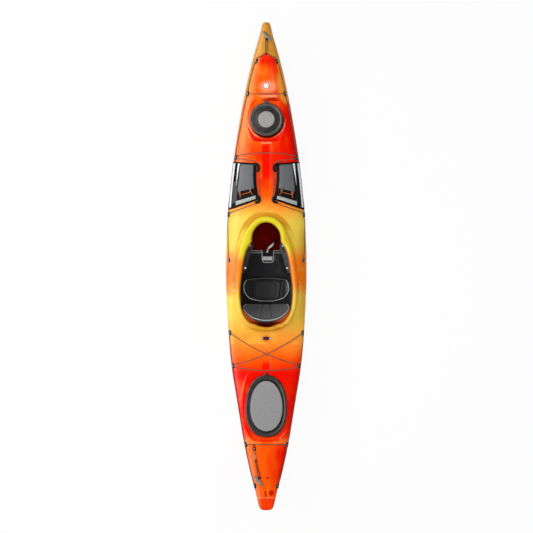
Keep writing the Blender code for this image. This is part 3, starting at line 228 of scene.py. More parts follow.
def deck_frame(x, y, heading, lift=0.0003):
    """Frame on the deck: Z along its normal, Y turned from the bow by heading."""
    n = deck_normal(x, y)
    fwd = Vector((-math.sin(heading), math.cos(heading), 0.0))
    fwd = (fwd - n * fwd.dot(n)).normalized()
    place = Matrix((fwd.cross(n), fwd, n)).transposed().to_4x4()
    place.translation = Vector((x, y, deck_z(x, y))) + n * lift
    return place


def circle(count):
    """Cosine and sine at even steps round a circle."""
    return [(math.cos(a), math.sin(a)) for a in (2 * math.pi * i / count for i in range(count))]


def bulged(value, power):
    """The value's size raised to a power, with its sign."""
    return math.copysign(abs(value) ** power, value)


def oval(cx, cy, rx, ry, power, count, egg=0.0):
    """Superellipse in plan; egg above zero makes the bow end narrower."""
    pts = []
    for c, s in circle(count):
        v = bulged(s, 2.0 / power)
        pts.append((cx + rx * bulged(c, 2.0 / power) * (1.0 - egg * v), cy + ry * v))
    return pts


def shares(low, high, count):
    """Even steps from low to high, both of them included."""
    return [low + (high - low) * i / count for i in range(count + 1)]


def spaced(low, high, step):
    return shares(low, high, math.ceil((high - low) / step))


def even(points, count):
    """Resample an open polyline at even steps of length."""
    run = [0.0]
    for p, q in zip(points, points[1:]):
        run.append(run[-1] + math.dist(p, q))
    out = []
    for want in shares(0.0, run[-1], count):
        k = 0
        while k < len(points) - 2 and run[k + 1] < want:
            k += 1
        t = (want - run[k]) / (run[k + 1] - run[k])
        out.append(tuple(a + (b - a) * t for a, b in zip(points[k], points[k + 1])))
    return out


def flowing(points, parts):
    """Catmull-Rom curve through the points, with parts steps for each span."""
    points = [Vector(p) for p in points]
    out = []
    for i in range(len(points) - 1):
        p0 = points[max(i - 1, 0)]
        p1 = points[i]
        p2 = points[i + 1]
        p3 = points[min(i + 2, len(points) - 1)]
        for k in range(parts):
            t = k / parts
            out.append(0.5 * (2 * p1 + (p2 - p0) * t + (2 * p0 - 5 * p1 + 4 * p2 - p3) * t * t
                              + (3 * p1 - p0 - 3 * p2 + p3) * t ** 3))
    out.append(points[-1])
    return out


# Moulded details of the deck

# Half-width of the raised foredeck panel between its two creases
FOREDECK_CREASE = ((1.3, 0.12), (1.421, 0.088), (1.563, 0.06), (1.689, 0.034))
FOREDECK_RISE = 0.0016
# Half-width, front, rear and length of the rear slope of the channels on the centreline
CHANNELS = ((0.038, 0.986, 0.47, 0.24), (0.036, -0.655, -0.835, 0.014))
CHANNEL_DEPTH = 0.0042
MOAT_APEX_Y = 0.446
MOAT_CENTRE_Y = -0.05
MOAT_HALF_WIDTH = 0.248
MOAT_DEPTH = 0.012
RIDGE_REAR_Y = -0.557
RIDGE_RISE = 0.0045
# Ovals sunk into the deck: x, y, half-width, half-length, depth
DIMPLES = (
    (0.0, -0.577, 0.023, 0.029, 0.005),
    (-0.094, -1.45, 0.017, 0.032, 0.0045),
    (0.043, -1.806, 0.024, 0.026, 0.0045),
    (-0.004, -1.813, 0.0095, 0.033, 0.0045),
    (0.013, -1.685, 0.019, 0.0095, 0.002),
    (0.0, -1.927, 0.0055, 0.0055, 0.003),
)
# Outline of the wells that the hatches stand in: station and half-width
BOW_WELL = (
    (0.984, 0.07), (0.992, 0.1), (1.006, 0.118), (1.06, 0.137), (1.128, 0.148),
    (1.197, 0.147), (1.272, 0.134), (1.317, 0.118), (1.338, 0.096), (1.349, 0.06),
)
STERN_WELL = (
    (-1.404, 0.08), (-1.388, 0.118), (-1.33, 0.155), (-1.25, 0.179), (-1.15, 0.191),
    (-1.05, 0.191), (-0.96, 0.179), (-0.9, 0.163), (-0.862, 0.147), (-0.848, 0.125),
)
WELL_SHOULDER = 0.0036
WELL_SINK = 0.0016
WELL_SPARE = 0.0004
# Ovals round the hatches where the wells' walls meet their floors
BOW_FOOT = (BOW_HATCH_Y, BOW_HATCH_R + 0.019, BOW_HATCH_R + 0.019, 2.0, 0.0)
STERN_FOOT_OVAL = (STERN_HATCH_Y, STERN_HATCH_HALF_WIDTH + 0.016,
                   STERN_HATCH_HALF_LENGTH + 0.016, STERN_HATCH_POWER, STERN_HATCH_EGG)


def inside_well(x, y, outline):
    """Distance inside a well's outline, negative outside it."""
    rear, front = outline[0][0], outline[-1][0]
    if not rear - 0.03 < y < front + 0.03:
        return -1.0
    return min(curve_value(outline, y) - abs(x), front - y, y - rear)


def outside_oval(x, y, cy, rx, ry, power, egg):
    """Rough distance outside an oval in plan, 0 inside it."""
    v = (y - cy) / ry
    u = x / (rx * (1.0 - egg * max(-1.0, min(1.0, v))))
    return max(0.0, (abs(u) ** power + abs(v) ** power) ** (1.0 / power) - 1.0) * rx


def wall_share(x, y, outline, foot):
    """0 at a well's outline and 1 on its floor, along the wall between them."""
    depth = inside_well(x, y, outline)
    if depth <= 0.0:
        return 0.0
    return ease(0.0, depth + max(0.0, outside_oval(x, y, *foot) - 0.0015), depth)


def well_relief(x, y, base, rise, outline, foot, shelf):
    """Height over the plain deck once a hatch's well is sunk into it."""
    depth = inside_well(x, y, outline)
    if depth <= -0.03:
        return rise
    side = ease(0.07, 0.11, abs(x))
    if depth <= 0.0:
        return rise + WELL_SHOULDER * side * ramp(-0.016, 0.0, depth) ** 2
    top = rise + WELL_SHOULDER * side
    floor = min(shelf + WELL_SPARE - base, rise - WELL_SINK * side)
    return top + (floor - top) * wall_share(x, y, outline, foot)


def channel_share(x, y):
    """How deep a place lies in the channels on the centreline, 0 to 1."""
    share = 0.0
    for half_width, front, rear, slope in CHANNELS:
        if rear < y < front and abs(x) < half_width:
            share = ease(half_width, half_width - 0.012, abs(x)) * within(
                y, rear, rear + slope, front - 0.024, front)
    return share


def dimples_at(x, y):
    """How far out a place lies in the dimples round it, with their depths."""
    for cx, cy, rx, ry, depth in DIMPLES:
        if abs(y - cy) < ry and abs(x - cx) < rx:
            yield math.hypot((x - cx) / rx, (y - cy) / ry), depth


def dimple_share(x, y):
    return max((ease(1.0, 0.7, reach) for reach, _ in dimples_at(x, y)), default=0.0)


def moat_share(x, y):
    if not 0.0 < y < MOAT_APEX_Y or abs(x) >= MOAT_HALF_WIDTH:
        return 0.0
    reach = (1.0 - (abs(x) / MOAT_HALF_WIDTH) ** 2.5) ** (1.0 / 2.5)
    reach = MOAT_CENTRE_Y + (MOAT_APEX_Y - MOAT_CENTRE_Y) * reach
    return ease(reach, reach - 0.026, y) * ease(0.1, 0.3, y)


def relief(x, y):
    """Height of the moulded details over the plain deck."""
    side = abs(x)
    rise = 0.0
    if 1.3 < y < 1.76:
        crease = curve_value(FOREDECK_CREASE, y)
        rise += FOREDECK_RISE * ease(crease + 0.02, crease - 0.014, side) * within(
            y, 1.3, 1.36, 1.7, 1.755)
    rise -= CHANNEL_DEPTH * channel_share(x, y) + MOAT_DEPTH * moat_share(x, y)
    if RIDGE_REAR_Y - 0.01 < y < -0.45:
        rise += RIDGE_RISE * ease(RIDGE_REAR_Y - 0.003, RIDGE_REAR_Y + 0.006, y) * ease(
            0.235, 0.15, side)
    for reach, depth in dimples_at(x, y):
        rise -= depth * ease(1.0, 0.72, reach)
    base = deck_z(x, y)
    if 0.95 < y < 1.39:
        rise -= 0.004 * within(y, 1.29, 1.32, 1.346, 1.352) * ease(0.049, 0.043, side)
        rise = well_relief(x, y, base, rise, BOW_WELL, BOW_FOOT, BOW_SHELF_Z)
    if -1.44 < y < -0.81:
        rise = well_relief(x, y, base, rise, STERN_WELL, STERN_FOOT_OVAL, STERN_SHELF_Z)
    rise *= 1.0 - clamp(side / half_beam(y)) ** 12
    if y < RUDDER_STEP_Y:
        rise = min(rise, RUDDER_STEP_Z - base)
    return rise


# Looks


def linear(*rgb):
    """Scene colour of a screen colour in 0 to 255 steps."""
    return tuple(c / 12.92 if c <= 0.04045 else ((c + 0.055) / 1.055) ** 2.4
                 for c in (v / 255.0 for v in rgb))


class Nodes:
    """A shader node tree and short ways to add to it."""

    def __init__(self, tree):
        self.tree = tree

    def node(self, kind, values=None, **settings):
        made = self.tree.nodes.new("ShaderNode" + kind)
        for key, value in settings.items():
            setattr(made, key, value)
        for key, value in (values or {}).items():
            self.feed(value, made.inputs[key])
        return made

    def feed(self, value, socket):
        """Sets a socket to a plain value, or links another node's output to it."""
        if isinstance(value, bpy.types.NodeSocket):
            self.tree.links.new(value, socket)
        else:
            socket.default_value = value

    def math(self, operation, a, b):
        return self.node("Math", {0: a, 1: b}, operation=operation).outputs[0]

    def spread(self, value, low, high, to_low=0.0, to_high=1.0):
        return self.node("MapRange", {0: value, 1: low, 2: high, 3: to_low, 4: to_high}).outputs[0]

    def axes(self, vector):
        return self.node("SeparateXYZ", {0: vector}).outputs


class Finish(Nodes):
    """A material with its Principled shader and the nodes that feed it."""

    def __init__(self, name, roughness, **sockets):
        self.material = bpy.data.materials.new(name)
        self.material.use_nodes = True
        super().__init__(self.material.node_tree)
        self.shader = self.tree.nodes["Principled BSDF"]
        self.set("Roughness", roughness)
        for key, value in sockets.items():
            self.set(key.replace("_", " "), value)
        self.place = self.node("TexCoord").outputs["Object"]
        self.normal = None

    def set(self, socket, value):
        self.feed((*value, 1.0) if isinstance(value, tuple) else value, self.shader.inputs[socket])

    def noise(self, scale, detail=2.0, roughness=0.5):
        return self.node("TexNoise", {"Scale": scale, "Detail": detail, "Roughness": roughness,
                                      "Vector": self.place}).outputs["Fac"]

    def mix(self, share, a, b):
        a, b = ((*v, 1.0) if isinstance(v, tuple) else v for v in (a, b))
        return self.node("Mix", {0: share, 6: a, 7: b}, data_type="RGBA").outputs[2]

    def paint(self, share, a, b):
        """Base colour between two tones; the socket's own value is their middle."""
        if isinstance(a, tuple):
            self.set("Base Color", mixed(a, b, 0.5))
        self.set("Base Color", self.mix(share, a, b))
        return self

    def bump(self, height, distance, strength=1.0):
        values = {"Strength": strength, "Distance": distance, "Height": height}
        if self.normal:
            values["Normal"] = self.normal
        self.normal = self.node("Bump", values).outputs["Normal"]
        self.set("Normal", self.normal)
        return self

    def grained(self, scale, distance, strength):
        return self.bump(self.noise(scale), distance, strength)

    def waves(self, direction, period):
        """Even bands across the surface; the wave node's bands are pi / 10 / scale wide."""
        return self.node("TexWave", {
            "Scale": math.pi / 10.0 / period, "Distortion": 0.0, "Detail": 0.0,
            "Vector": self.place}, bands_direction=direction).outputs["Fac"]

    def worn(self, scale, low, high):
        self.set("Roughness", self.spread(self.noise(scale, 4.0), 0.35, 0.65, low, high))
        return self


def mottled(name, roughness, a, b, scale, detail=3.0, **sockets):
    """Colour that wanders between two close tones."""
    made = Finish(name, roughness, **sockets)
    return made.paint(made.spread(made.noise(scale, detail), 0.35, 0.65), linear(*a), linear(*b))


def woven(name, roughness, a, b, period, depth=0.0003, **sockets):
    """Plain weave: two crossing sets of threads."""
    made = Finish(name, roughness, **sockets)
    threads = made.math("MAXIMUM", made.waves("X", period), made.waves("Y", period))
    worn = made.spread(made.noise(38.0, 3.0), 0.3, 0.7, 0.8, 1.0)
    return made.paint(made.math("MULTIPLY", threads, worn), linear(*a), linear(*b)).bump(
        threads, depth)


def braided(name, a, b, period):
    """Cord cover: fine threads in relief under a colour that wanders."""
    made = mottled(name, 0.75, a, b, 90.0)
    return made.bump(made.math("MAXIMUM", made.waves("X", period), made.waves("Y", period)),
                     0.0003, 0.6)


# Pigments of the moulded plastic, which blend into each other along the boat, and the colours of
# its painted highlights, sheen, shade and shadow
GOLD = linear(216, 154, 58)
RED = linear(244, 6, 1)
SCARLET = linear(250, 46, 4)
FLAME = linear(254, 62, 5)
ORANGE = linear(254, 94, 8)
TANGERINE = linear(250, 132, 28)
AMBER = linear(250, 154, 52)
HONEY = linear(236, 180, 64)
LEMON = linear(238, 208, 80)
LIME = linear(224, 212, 48)
OCHRE = linear(206, 138, 14)
# Colour of the painted highlights and painted sheen
HIGHLIGHT_PINK = linear(254, 158, 112)
CRIMSON = linear(204, 10, 2)
MAROON = linear(150, 6, 2)
DEEP_SHADE_RED = linear(84, 3, 1)
# Colour of the painted shadow at the foot of the bow hatch
SHADOW_BLACK = linear(24, 3, 2)
# Colour of painted sheen and painted highlights
SHEEN_APRICOT = linear(252, 158, 66)
# Colour of painted shade on and beside the cockpit rim
SHADE_UMBER = linear(170, 92, 6)
RUST = linear(254, 122, 50)
BLACK = linear(0, 0, 0)
# Station and pigment, from stern to bow
DECK_COLOURS = (
    (-1.94, FLAME), (-1.858, FLAME), (-1.842, ORANGE), (-1.42, ORANGE),
    (-1.3, SCARLET), (-1.16, RED), (-0.846, RED), (-0.826, SCARLET),
    (-0.74, ORANGE), (-0.58, AMBER), (-0.48, HONEY), (-0.39, LEMON),
    (-0.25, LEMON), (-0.19, AMBER), (-0.13, TANGERINE), (0.03, TANGERINE),
    (0.11, AMBER), (0.18, LEMON), (0.37, LEMON), (0.48, AMBER), (0.57, ORANGE),
    (0.7, SCARLET), (0.86, SCARLET), (0.98, ORANGE), (1.42, ORANGE),
    (1.6, ORANGE), (1.65, SCARLET), (1.69, SCARLET), (1.704, RED), (1.708, GOLD),
)
RIM_COLOURS = (
    (-0.52, OCHRE), (-0.47, HONEY), (-0.33, LEMON), (-0.24, LEMON), (-0.15, AMBER),
    (0.01, TANGERINE), (0.06, AMBER), (0.11, LIME), (0.42, LIME),
)
INSIDE_COLOURS = ((-0.56, RUST), (-0.38, RUST), (-0.2, RED), (0.1, CRIMSON), (1.0, MAROON))
# How far the starboard side runs redder than port, by station: partly the plastic's own colour,
# partly painted shade of the side away from the light
STARBOARD_RED = (
    (-1.945, 0.1), (-1.82, 0.1), (-1.64, 0.85), (-1.5, 0.95), (-1.34, 0.4),
    (-1.15, 0.6), (-0.8, 0.35), (-0.6, 0.0), (0.56, 0.0), (0.7, 0.45),
    (0.9, 1.0), (1.2, 1.05), (1.29, 0.6), (1.34, 0.05), (1.48, 0.05),
    (1.56, 0.7), (1.69, 0.9), (1.72, 0.0),
)
# Half-width of the foredeck inside which the gold of the tip gives way to red, each side
GOLD_EDGE_PORT = (
    (1.18, 0.215), (1.376, 0.148), (1.634, 0.082), (1.672, 0.05), (1.698, 0.01),
)
GOLD_EDGE_STARBOARD = (
    (1.23, 0.215), (1.3, 0.13), (1.376, 0.085), (1.48, 0.075), (1.56, 0.086),
    (1.634, 0.082), (1.672, 0.05), (1.698, 0.01),
)
# Front and rear edge of the painted shade in the hollow in front of the bow hatch, by distance to
# starboard
HATCH_HOLLOW = (
    (-0.042, 1.327, 1.3245), (0.005, 1.337, 1.318), (0.05, 1.347, 1.32),
    (0.09, 1.332, 1.318), (0.112, 1.318, 1.316),
)


def mixed(a, b, share):
    return tuple(p + (q - p) * share for p, q in zip(a, b))


def along(stops, y):
    if y <= stops[0][0]:
        return stops[0][1]
    for (y0, a), (y1, b) in zip(stops, stops[1:]):
        if y < y1:
            return mixed(a, b, (y - y0) / (y1 - y0))
    return stops[-1][1]


def wander(x, y, z, scale, seed):
    return noise.noise(Vector((x * scale + seed, y * scale, z * scale)))


def layered(colour, *layers):
    """Blends pigments and painted highlight and shade colours into a colour one after another, each
    by its share.
    """
    for pigment_and_painted_light, share in layers:
        colour = mixed(colour, pigment_and_painted_light, share)
    return colour


def bow_well_pigment_and_painted_light(x, y, colour):
    """Facets of the bow hatch's well: a red band, a painted highlight and painted shade in front,
    red behind, a painted highlight and a painted shadow at the foot, and a painted highlight along
    the rear edge.
    """
    if not 0.96 < y < 1.39:
        return colour
    side = abs(x)
    if side < 0.13:
        band = ease(0.05, 0.045, side) * within(y, 1.3625, 1.366, 1.3745, 1.378)
        # Painted highlight on the facet in front of the well
        facet = within(x, -0.046, -0.04, 0.07, 0.1) * within(y, 1.345, 1.349, 1.3635, 1.368)
        colour = layered(colour, (RED, 0.9 * band), (HIGHLIGHT_PINK, 0.85 * facet))
        if HATCH_HOLLOW[0][0] < x < HATCH_HOLLOW[-1][0]:
            high, low = (curve_value([(row[0], row[k]) for row in HATCH_HOLLOW], x)
                         for k in (1, 2))
            # Painted shade in the hollow in front of the hatch
            hollow = within(y, low - 0.004, low + 0.004, high - 0.003, high + 0.003)
            colour = mixed(colour, MAROON, 0.9 * hollow)
    wall = wall_share(x, y, BOW_WELL, BOW_FOOT)
    band = min(1.0, 4.5 * wall * (1.0 - wall) + 0.5 * wall)
    beside = 0.75 * ease(0.08, 0.12, side) * ease(1.345, 1.3, y)
    colour = mixed(colour, RED, band * (0.12 + 0.86 * max(ease(1.23, 1.08, y), beside)))
    r = math.hypot(x, y - BOW_HATCH_Y)
    if 0.12 < r < 0.165:
        slant = (BOW_HATCH_Y - y) / r
        # Painted highlight round the hatch's foot, and a painted shadow on its stern side
        flank = ease(0.98, 0.8, slant) * ease(-0.2, 0.3, slant)
        slant = (0.45 * x + BOW_HATCH_Y - y) / r
        shadow = ease(0.148, 0.1415, r - 0.005 * ease(0.6, 1.0, slant)) * ease(0.0, 0.6, slant)
        colour = layered(colour, (HIGHLIGHT_PINK, 0.85 * within(r, 0.14, 0.146, 0.152, 0.158) * flank),
                         (SHADOW_BLACK, 0.97 * shadow))
    # Painted highlight along the well's rear edge
    return mixed(colour, HIGHLIGHT_PINK, 0.6 * within(y, 0.976, 0.98, 0.99, 0.996) * ease(0.05, 0.035, side))


def bow_tip_pigment_and_painted_sheen(x, y, z, colour):
    """Gold round the tip, a painted sheen beside the disc and red under it."""
    port = x < 0.0
    edge = curve_value(GOLD_EDGE_PORT if port else GOLD_EDGE_STARBOARD, y)
    edge += 0.008 * wander(x, y, z, 16.0, 2.0)
    blend = 0.01 if port else 0.01 + 0.03 * ease(1.6, 1.52, y)
    loose = y + 0.16 * wander(x, y, z * 1.5, 5.0, 90.0) * ease(0.33, 0.29, z)
    begin, full = (1.18, 1.42) if port else (1.26, 1.34)
    gold = ease(edge - 0.004, edge + blend, abs(x)) * ease(begin, full, loose)
    stain = ease(0.05, 0.4, wander(x, y, z, 22.0, 61.0)) * gold
    warm = gold * ease(1.68, 1.56, loose) * ease(0.0, 0.05, x)
    # Painted sheen round the disc
    glow = math.hypot((x - 0.012) / 0.075, (y - 1.432) / 0.05)
    return layered(
        colour, (GOLD, gold if y < 1.698 else 1.0),
        (OCHRE, 0.45 * ease(1.87, 1.93, y) + 0.35 * stain), (AMBER, 0.55 * warm),
        (HIGHLIGHT_PINK, 0.75 * ease(1.25, 0.55, glow)),
        (CRIMSON, 0.8 * ease(0.029, 0.028, math.hypot(x, y - DISC_Y))))


def deck_pigment_and_painted_light(x, y, z):
    """Colour at a place of the shell: the plastic's pigments, with painted highlights, painted
    sheen and painted shade laid over them.
    """
    share = x / half_beam(y)
    drift = 0.05 * wander(x, y, z, 2.6, 3.0) + 0.016 * wander(x, y, z, 12.0, 9.0)
    sharp = max(ease(0.14, 0.02, abs(y + 0.845)), ease(0.06, 0.02, abs(y - 1.7)),
                ease(0.08, 0.02, abs(y + 1.85)))
    streak = wander(x * 3.0, y, z, 7.0, 21.0)
    red = min(1.0, curve_value(STARBOARD_RED, y) * ease(-0.3, 0.9, share + 0.45 * streak))
    lit_flank = ease(-0.45, -0.85, share) * (ease(0.5, 0.8, y) + 0.5 * ease(-1.35, -1.6, y))
    swirl = wander(x + 0.05 * streak, y * 0.7, z, 11.0, 31.0)
    bow = ease(1.2, 1.4, y)
    calm = (1.0 - sharp) * ease(1.94, 1.8, abs(y)) * (1.0 - red)
    pale = ease(0.04, 0.4, swirl) * (0.3 + 0.45 * bow) * calm
    dark = ease(-0.06, -0.45, swirl) * (0.25 * ease(0.6, 0.75, y) + 0.45 * bow)
    blush = ease(0.0, 0.4, wander(x * 2.6, y * 0.5, z, 16.0, 71.0))
    side = ease(0.19, 0.03, abs(y + 0.05)) * ease(0.55, 0.8, abs(share))
    starboard_shade = ease(0.72, 0.95, share) * within(y, -0.5, -0.36, 0.2, 0.36)
    # Besides swirls and patches of pigment, these layers make the starboard side redder and its
    # edge darker, partly painted shade, paint sheen on the lit port flank, and paint shade beside
    # the cockpit to starboard
    colour = layered(
        along(DECK_COLOURS, y + drift * (1.0 - sharp)), (RED, red),
        (CRIMSON, red * ease(0.7, 0.95, share)), (SHEEN_APRICOT, 0.55 * min(1.0, lit_flank)),
        (TANGERINE if y > 0.45 or y < -0.62 else LEMON, pale), (RED, dark * (1.0 - sharp)),
        (ORANGE, 0.45 * blush * side), (SHADE_UMBER, 0.42 * starboard_shade))
    if y > 1.18:
        colour = bow_tip_pigment_and_painted_sheen(x, y, z, colour)
    reach = 0.1 + 0.87 * ease(-0.745, -0.79, y) if y < 0.0 else 0.95 * ease(
        0.58, 0.78, y + 0.05 * streak)
    dimple = dimple_share(x, y)
    on_deck = ease(0.262, 0.284, z)
    # Painted highlight along the edge of the rudder step
    step = within(y, -1.85, -1.8485, -1.842, -1.838) * on_deck
    colour = bow_well_pigment_and_painted_light(x, y, layered(
        colour, (RED, channel_share(x, y) * reach),
        (CRIMSON, 0.95 * dimple * ease(-1.2, -1.4, y)),
        (SCARLET, 0.7 * dimple * ease(-0.9, -0.7, y)), (HIGHLIGHT_PINK, 0.4 * step)))
    wall = wall_share(x, y, STERN_WELL, STERN_FOOT_OVAL)
    band = min(1.0, 3.6 * wall * (1.0 - wall) + 0.5 * wall)
    # Red on the stern well's walls, painted highlights at its rear corners, and painted shade in
    # the moat before the cockpit
    corner = ease(0.03, 0.055, abs(x)) * within(y, -1.425, -1.405, -1.39, -1.36) * on_deck
    return layered(
        colour, (RED, band * (0.97 - 0.35 * ease(-1.3, -1.4, y))),
        (SHEEN_APRICOT, 0.4 * corner * (1.0 - band)),
        (OCHRE, 0.75 * moat_share(x, y) * ease(0.26, 0.34, y)))


def mouth_gap(x, y):
    """Rough distance outside the cockpit's mouth."""
    table = [(row[1], row[0]) for row in reversed(COCKPIT_MOUTH)]
    here = curve_value(table, y)
    slope = (curve_value(table, y + 0.004) - curve_value(table, y - 0.004)) / 0.008
    beyond = max(y - COCKPIT_MOUTH[0][1], COCKPIT_MOUTH[-1][1] - y)
    return max((abs(x) - here) / math.sqrt(1.0 + slope * slope), beyond)


def rim_pigment_and_painted_shade(x, y, z):
    drift = 0.03 * wander(x, y, z, 4.0, 40.0) + 0.012 * wander(x, y, z, 15.0, 44.0)
    colour = along(RIM_COLOURS, y + drift)
    gap = mouth_gap(x, y)
    # Painted shade on the rim's inner turn-down near the mouth, weaker at the front, and on its
    # outer edge to starboard
    inner = ease(0.016, 0.004, gap) * (0.4 + 0.4 * ease(0.27, 0.2, y))
    outer = ease(0.024, 0.034, gap) * ease(0.02, 0.1, x) * ease(0.34, 0.24, y) * 0.45
    return mixed(colour, SHADE_UMBER, max(inner, outer))


def inside_pigment_and_painted_shade(x, y, z):
    # Painted shade: dark just under the rim and under its rear, and darker still in the front under
    # the foredeck
    return layered(
        along(INSIDE_COLOURS, y + 0.05 * wander(x, y, z, 5.0, 50.0)),
        (MAROON, 0.9 * max(ease(0.17, 0.22, z), ease(-0.446, -0.46, y))),
        (DEEP_SHADE_RED, 0.9 * ease(0.04, 0.2, y)), (BLACK, 0.45 * within(y, 0.02, 0.1, 0.14, 0.24)))


def moulded(name, roughness, specular):
    """Rotomoulded plastic: the colour stored at each place, its pigment with painted highlights,
    sheen and shade, with fine mottling and orange peel.
    """
    made = Finish(name, roughness, Base_Color=ORANGE, Specular_IOR_Level=specular)
    pigment_and_painted_light = made.node("Attribute", attribute_name="pigment_and_painted_light").outputs["Color"]
    cloud = made.spread(made.noise(42.0, 4.0, 0.6), 0.3, 0.75, 0.0, 0.05)
    fleck = made.spread(made.noise(170.0, 2.0), 0.45, 0.8, 0.0, 0.08)
    made.paint(fleck, made.mix(cloud, pigment_and_painted_light, ORANGE), RED)
    return made.grained(240.0, 0.0002, 0.3).bump(made.noise(9.0, 1.0), 0.002, 0.12)


HULL = moulded("hull_plastic", 0.25, 0.24)
RIM = moulded("rim_plastic", 0.25, 0.24)
INSIDE = moulded("hull_inside", 0.55, 0.1)
# Station behind which the photo shows the shell's colour under the backrest
TAIL_Y = -0.34


def painted_glow(made, strength, station=None):
    """Painted glow: emission that stands in for daylight through the translucent plastic, low down
    behind the backrest.
    """
    _, y, z = made.axes(made.place)
    behind = made.spread(station or y, TAIL_Y, TAIL_Y - (0.02 if station else 0.05))
    lit = made.math("MULTIPLY", behind, made.spread(z, 0.23, 0.17))
    lit = made.math("MULTIPLY", lit, made.spread(y, TAIL_Y - 0.12, TAIL_Y - 0.104))
    made.set("Emission Color", RUST)
    made.set("Emission Strength", made.math("MULTIPLY", lit, strength))


painted_glow(INSIDE, 0.16)
PIGMENTS_AND_PAINTED_LIGHT = {"hull_plastic": deck_pigment_and_painted_light, "rim_plastic": rim_pigment_and_painted_shade,
            "hull_inside": inside_pigment_and_painted_shade}


def store_colours(made):
    """Stores the colour of every face corner on the moulded shell: its pigment with painted
    highlights, sheen and shade.
    """
    mesh = made.data
    tints = mesh.attributes.new("pigment_and_painted_light", "FLOAT_COLOR", "CORNER")
    known = {}
    for face in mesh.polygons:
        look = mesh.materials[face.material_index].name
        for corner in face.loop_indices:
            vertex = mesh.loops[corner].vertex_index
            if (look, vertex) not in known:
                known[look, vertex] = (*PIGMENTS_AND_PAINTED_LIGHT[look](*mesh.vertices[vertex].co), 1.0)
            tints.data[corner].color = known[look, vertex]


RUBBER = mottled("hatch_rubber", 0.42, (74, 71, 69), (88, 85, 82), 22.0)
DARK_RUBBER = mottled("oval_hatch_rubber", 0.42, (48, 45, 44), (62, 59, 57), 22.0)
for rubber in (RUBBER, DARK_RUBBER):
    rubber.grained(420.0, 0.0002, 0.5).worn(12.0, 0.34, 0.5)
# Darker copies of the two rubbers: painted shade on the covers' skirts and beside their panels
RUBBER_SHADED = mottled("hatch_rubber_painted_shade", 0.45, (38, 36, 35), (52, 50, 48), 22.0)
DARK_RUBBER_SHADED = mottled("oval_hatch_rubber_painted_shade", 0.45, (18, 16, 15), (32, 29, 28), 22.0)
INSERT = mottled("hatch_insert_grey", 0.5, (142, 141, 141), (148, 147, 147), 60.0)
PALE_INSERT = mottled("round_insert_grey", 0.5, (152, 148, 146), (162, 158, 155), 60.0)
for insert in (INSERT, PALE_INSERT):
    insert.grained(900.0, 0.0003, 0.5)
NYLON = mottled("black_nylon", 0.38, (24, 23, 23), (40, 39, 38), 60.0).grained(700.0, 0.0002, 0.4)
SLATE = mottled("slate_plastic", 0.36, (58, 62, 76), (76, 80, 94), 60.0)
WHITE = mottled("white_plastic", 0.35, (226, 225, 222), (238, 237, 235), 30.0)
LOCK = mottled("cord_lock", 0.34, (12, 12, 13), (26, 26, 28), 80.0)
GRIP = mottled("grip_grey", 0.34, (112, 115, 116), (138, 141, 142), 45.0).grained(
    500.0, 0.0002, 0.5)
SEAT_PLASTIC = mottled("seat_plastic", 0.42, (25, 25, 26), (38, 38, 40), 30.0)
BRACE = mottled("thigh_brace_plastic", 0.36, (42, 42, 44), (56, 56, 58), 30.0)
for plastic in (SEAT_PLASTIC, BRACE):
    plastic.grained(600.0, 0.0003, 0.5)
BULKHEAD = mottled("bulkhead_foam", 0.8, (42, 42, 44), (58, 58, 60), 80.0).grained(
    260.0, 0.0006, 0.6)
SCREW = Finish("stainless_screw", 0.28, Metallic=1.0, Base_Color=linear(205, 205, 205)).worn(
    300.0, 0.22, 0.4)
RAIL = Finish("rail_aluminium", 0.35, Metallic=1.0, Base_Color=linear(190, 190, 194)).worn(
    90.0, 0.28, 0.42)
LINE = braided("deck_line", (72, 66, 61), (92, 86, 80), 0.0022)
BUNGEE = braided("bungee_cover", (94, 82, 72), (118, 104, 92), 0.0026)
DARK_CORD = woven("handle_cord_black", 0.75, (18, 16, 15), (44, 40, 38), 0.002)
PALE_CORD = woven("handle_cord_grey", 0.75, (122, 114, 106), (176, 168, 160), 0.002)
ORANGE_CORD = woven("bag_cord_orange", 0.65, (190, 74, 8), (244, 128, 34), 0.0018)
SEAT_CLOTH = mottled("seat_fabric", 0.46, (29, 29, 31), (47, 47, 50), 70.0, 6.0, Sheen_Weight=0.2)
SEAT_CLOTH.bump(SEAT_CLOTH.noise(260.0, 3.0), 0.001, 0.8).grained(34.0, 0.003, 0.8)
SEAT_MESH = woven("seat_mesh", 0.7, (30, 30, 31), (66, 66, 68), 0.0034, 0.0006, Sheen_Weight=0.2)
BACK_CLOTH = woven("backrest_fabric", 0.7, (46, 47, 48), (80, 81, 82), 0.0022, 0.0004,
                   Sheen_Weight=0.3).grained(60.0, 0.002, 0.5)
PIPING = woven("piping_grey", 0.6, (186, 188, 188), (232, 234, 234), 0.0018)
BACK_PIPING = woven("piping_slate", 0.6, (150, 154, 154), (190, 194, 194), 0.0018)
# Darker copy of the piping for the cushion's front welt: painted shade
FRONT_PIPING_SHADED = woven("piping_shade", 0.6, (92, 95, 95), (128, 131, 131), 0.0018)
THREAD = mottled("seam_thread", 0.8, (5, 5, 6), (14, 14, 15), 90.0)
PATCH = mottled("patch_grey", 0.6, (206, 208, 208), (226, 228, 228), 40.0)
WEBBING = woven("webbing_grey", 0.6, (202, 203, 202), (244, 245, 244), 0.002)
BAG_PANEL = woven("bag_panel", 0.5, (70, 72, 73), (114, 116, 118), 0.003, 0.0004,
                  Sheen_Weight=0.1)
BAG_CLOTH = woven("bag_fabric", 0.66, (8, 8, 9), (24, 24, 27), 0.002, Specular_IOR_Level=0.12)
BAG_SIDE = woven("bag_side", 0.6, (38, 39, 41), (62, 63, 65), 0.0026)
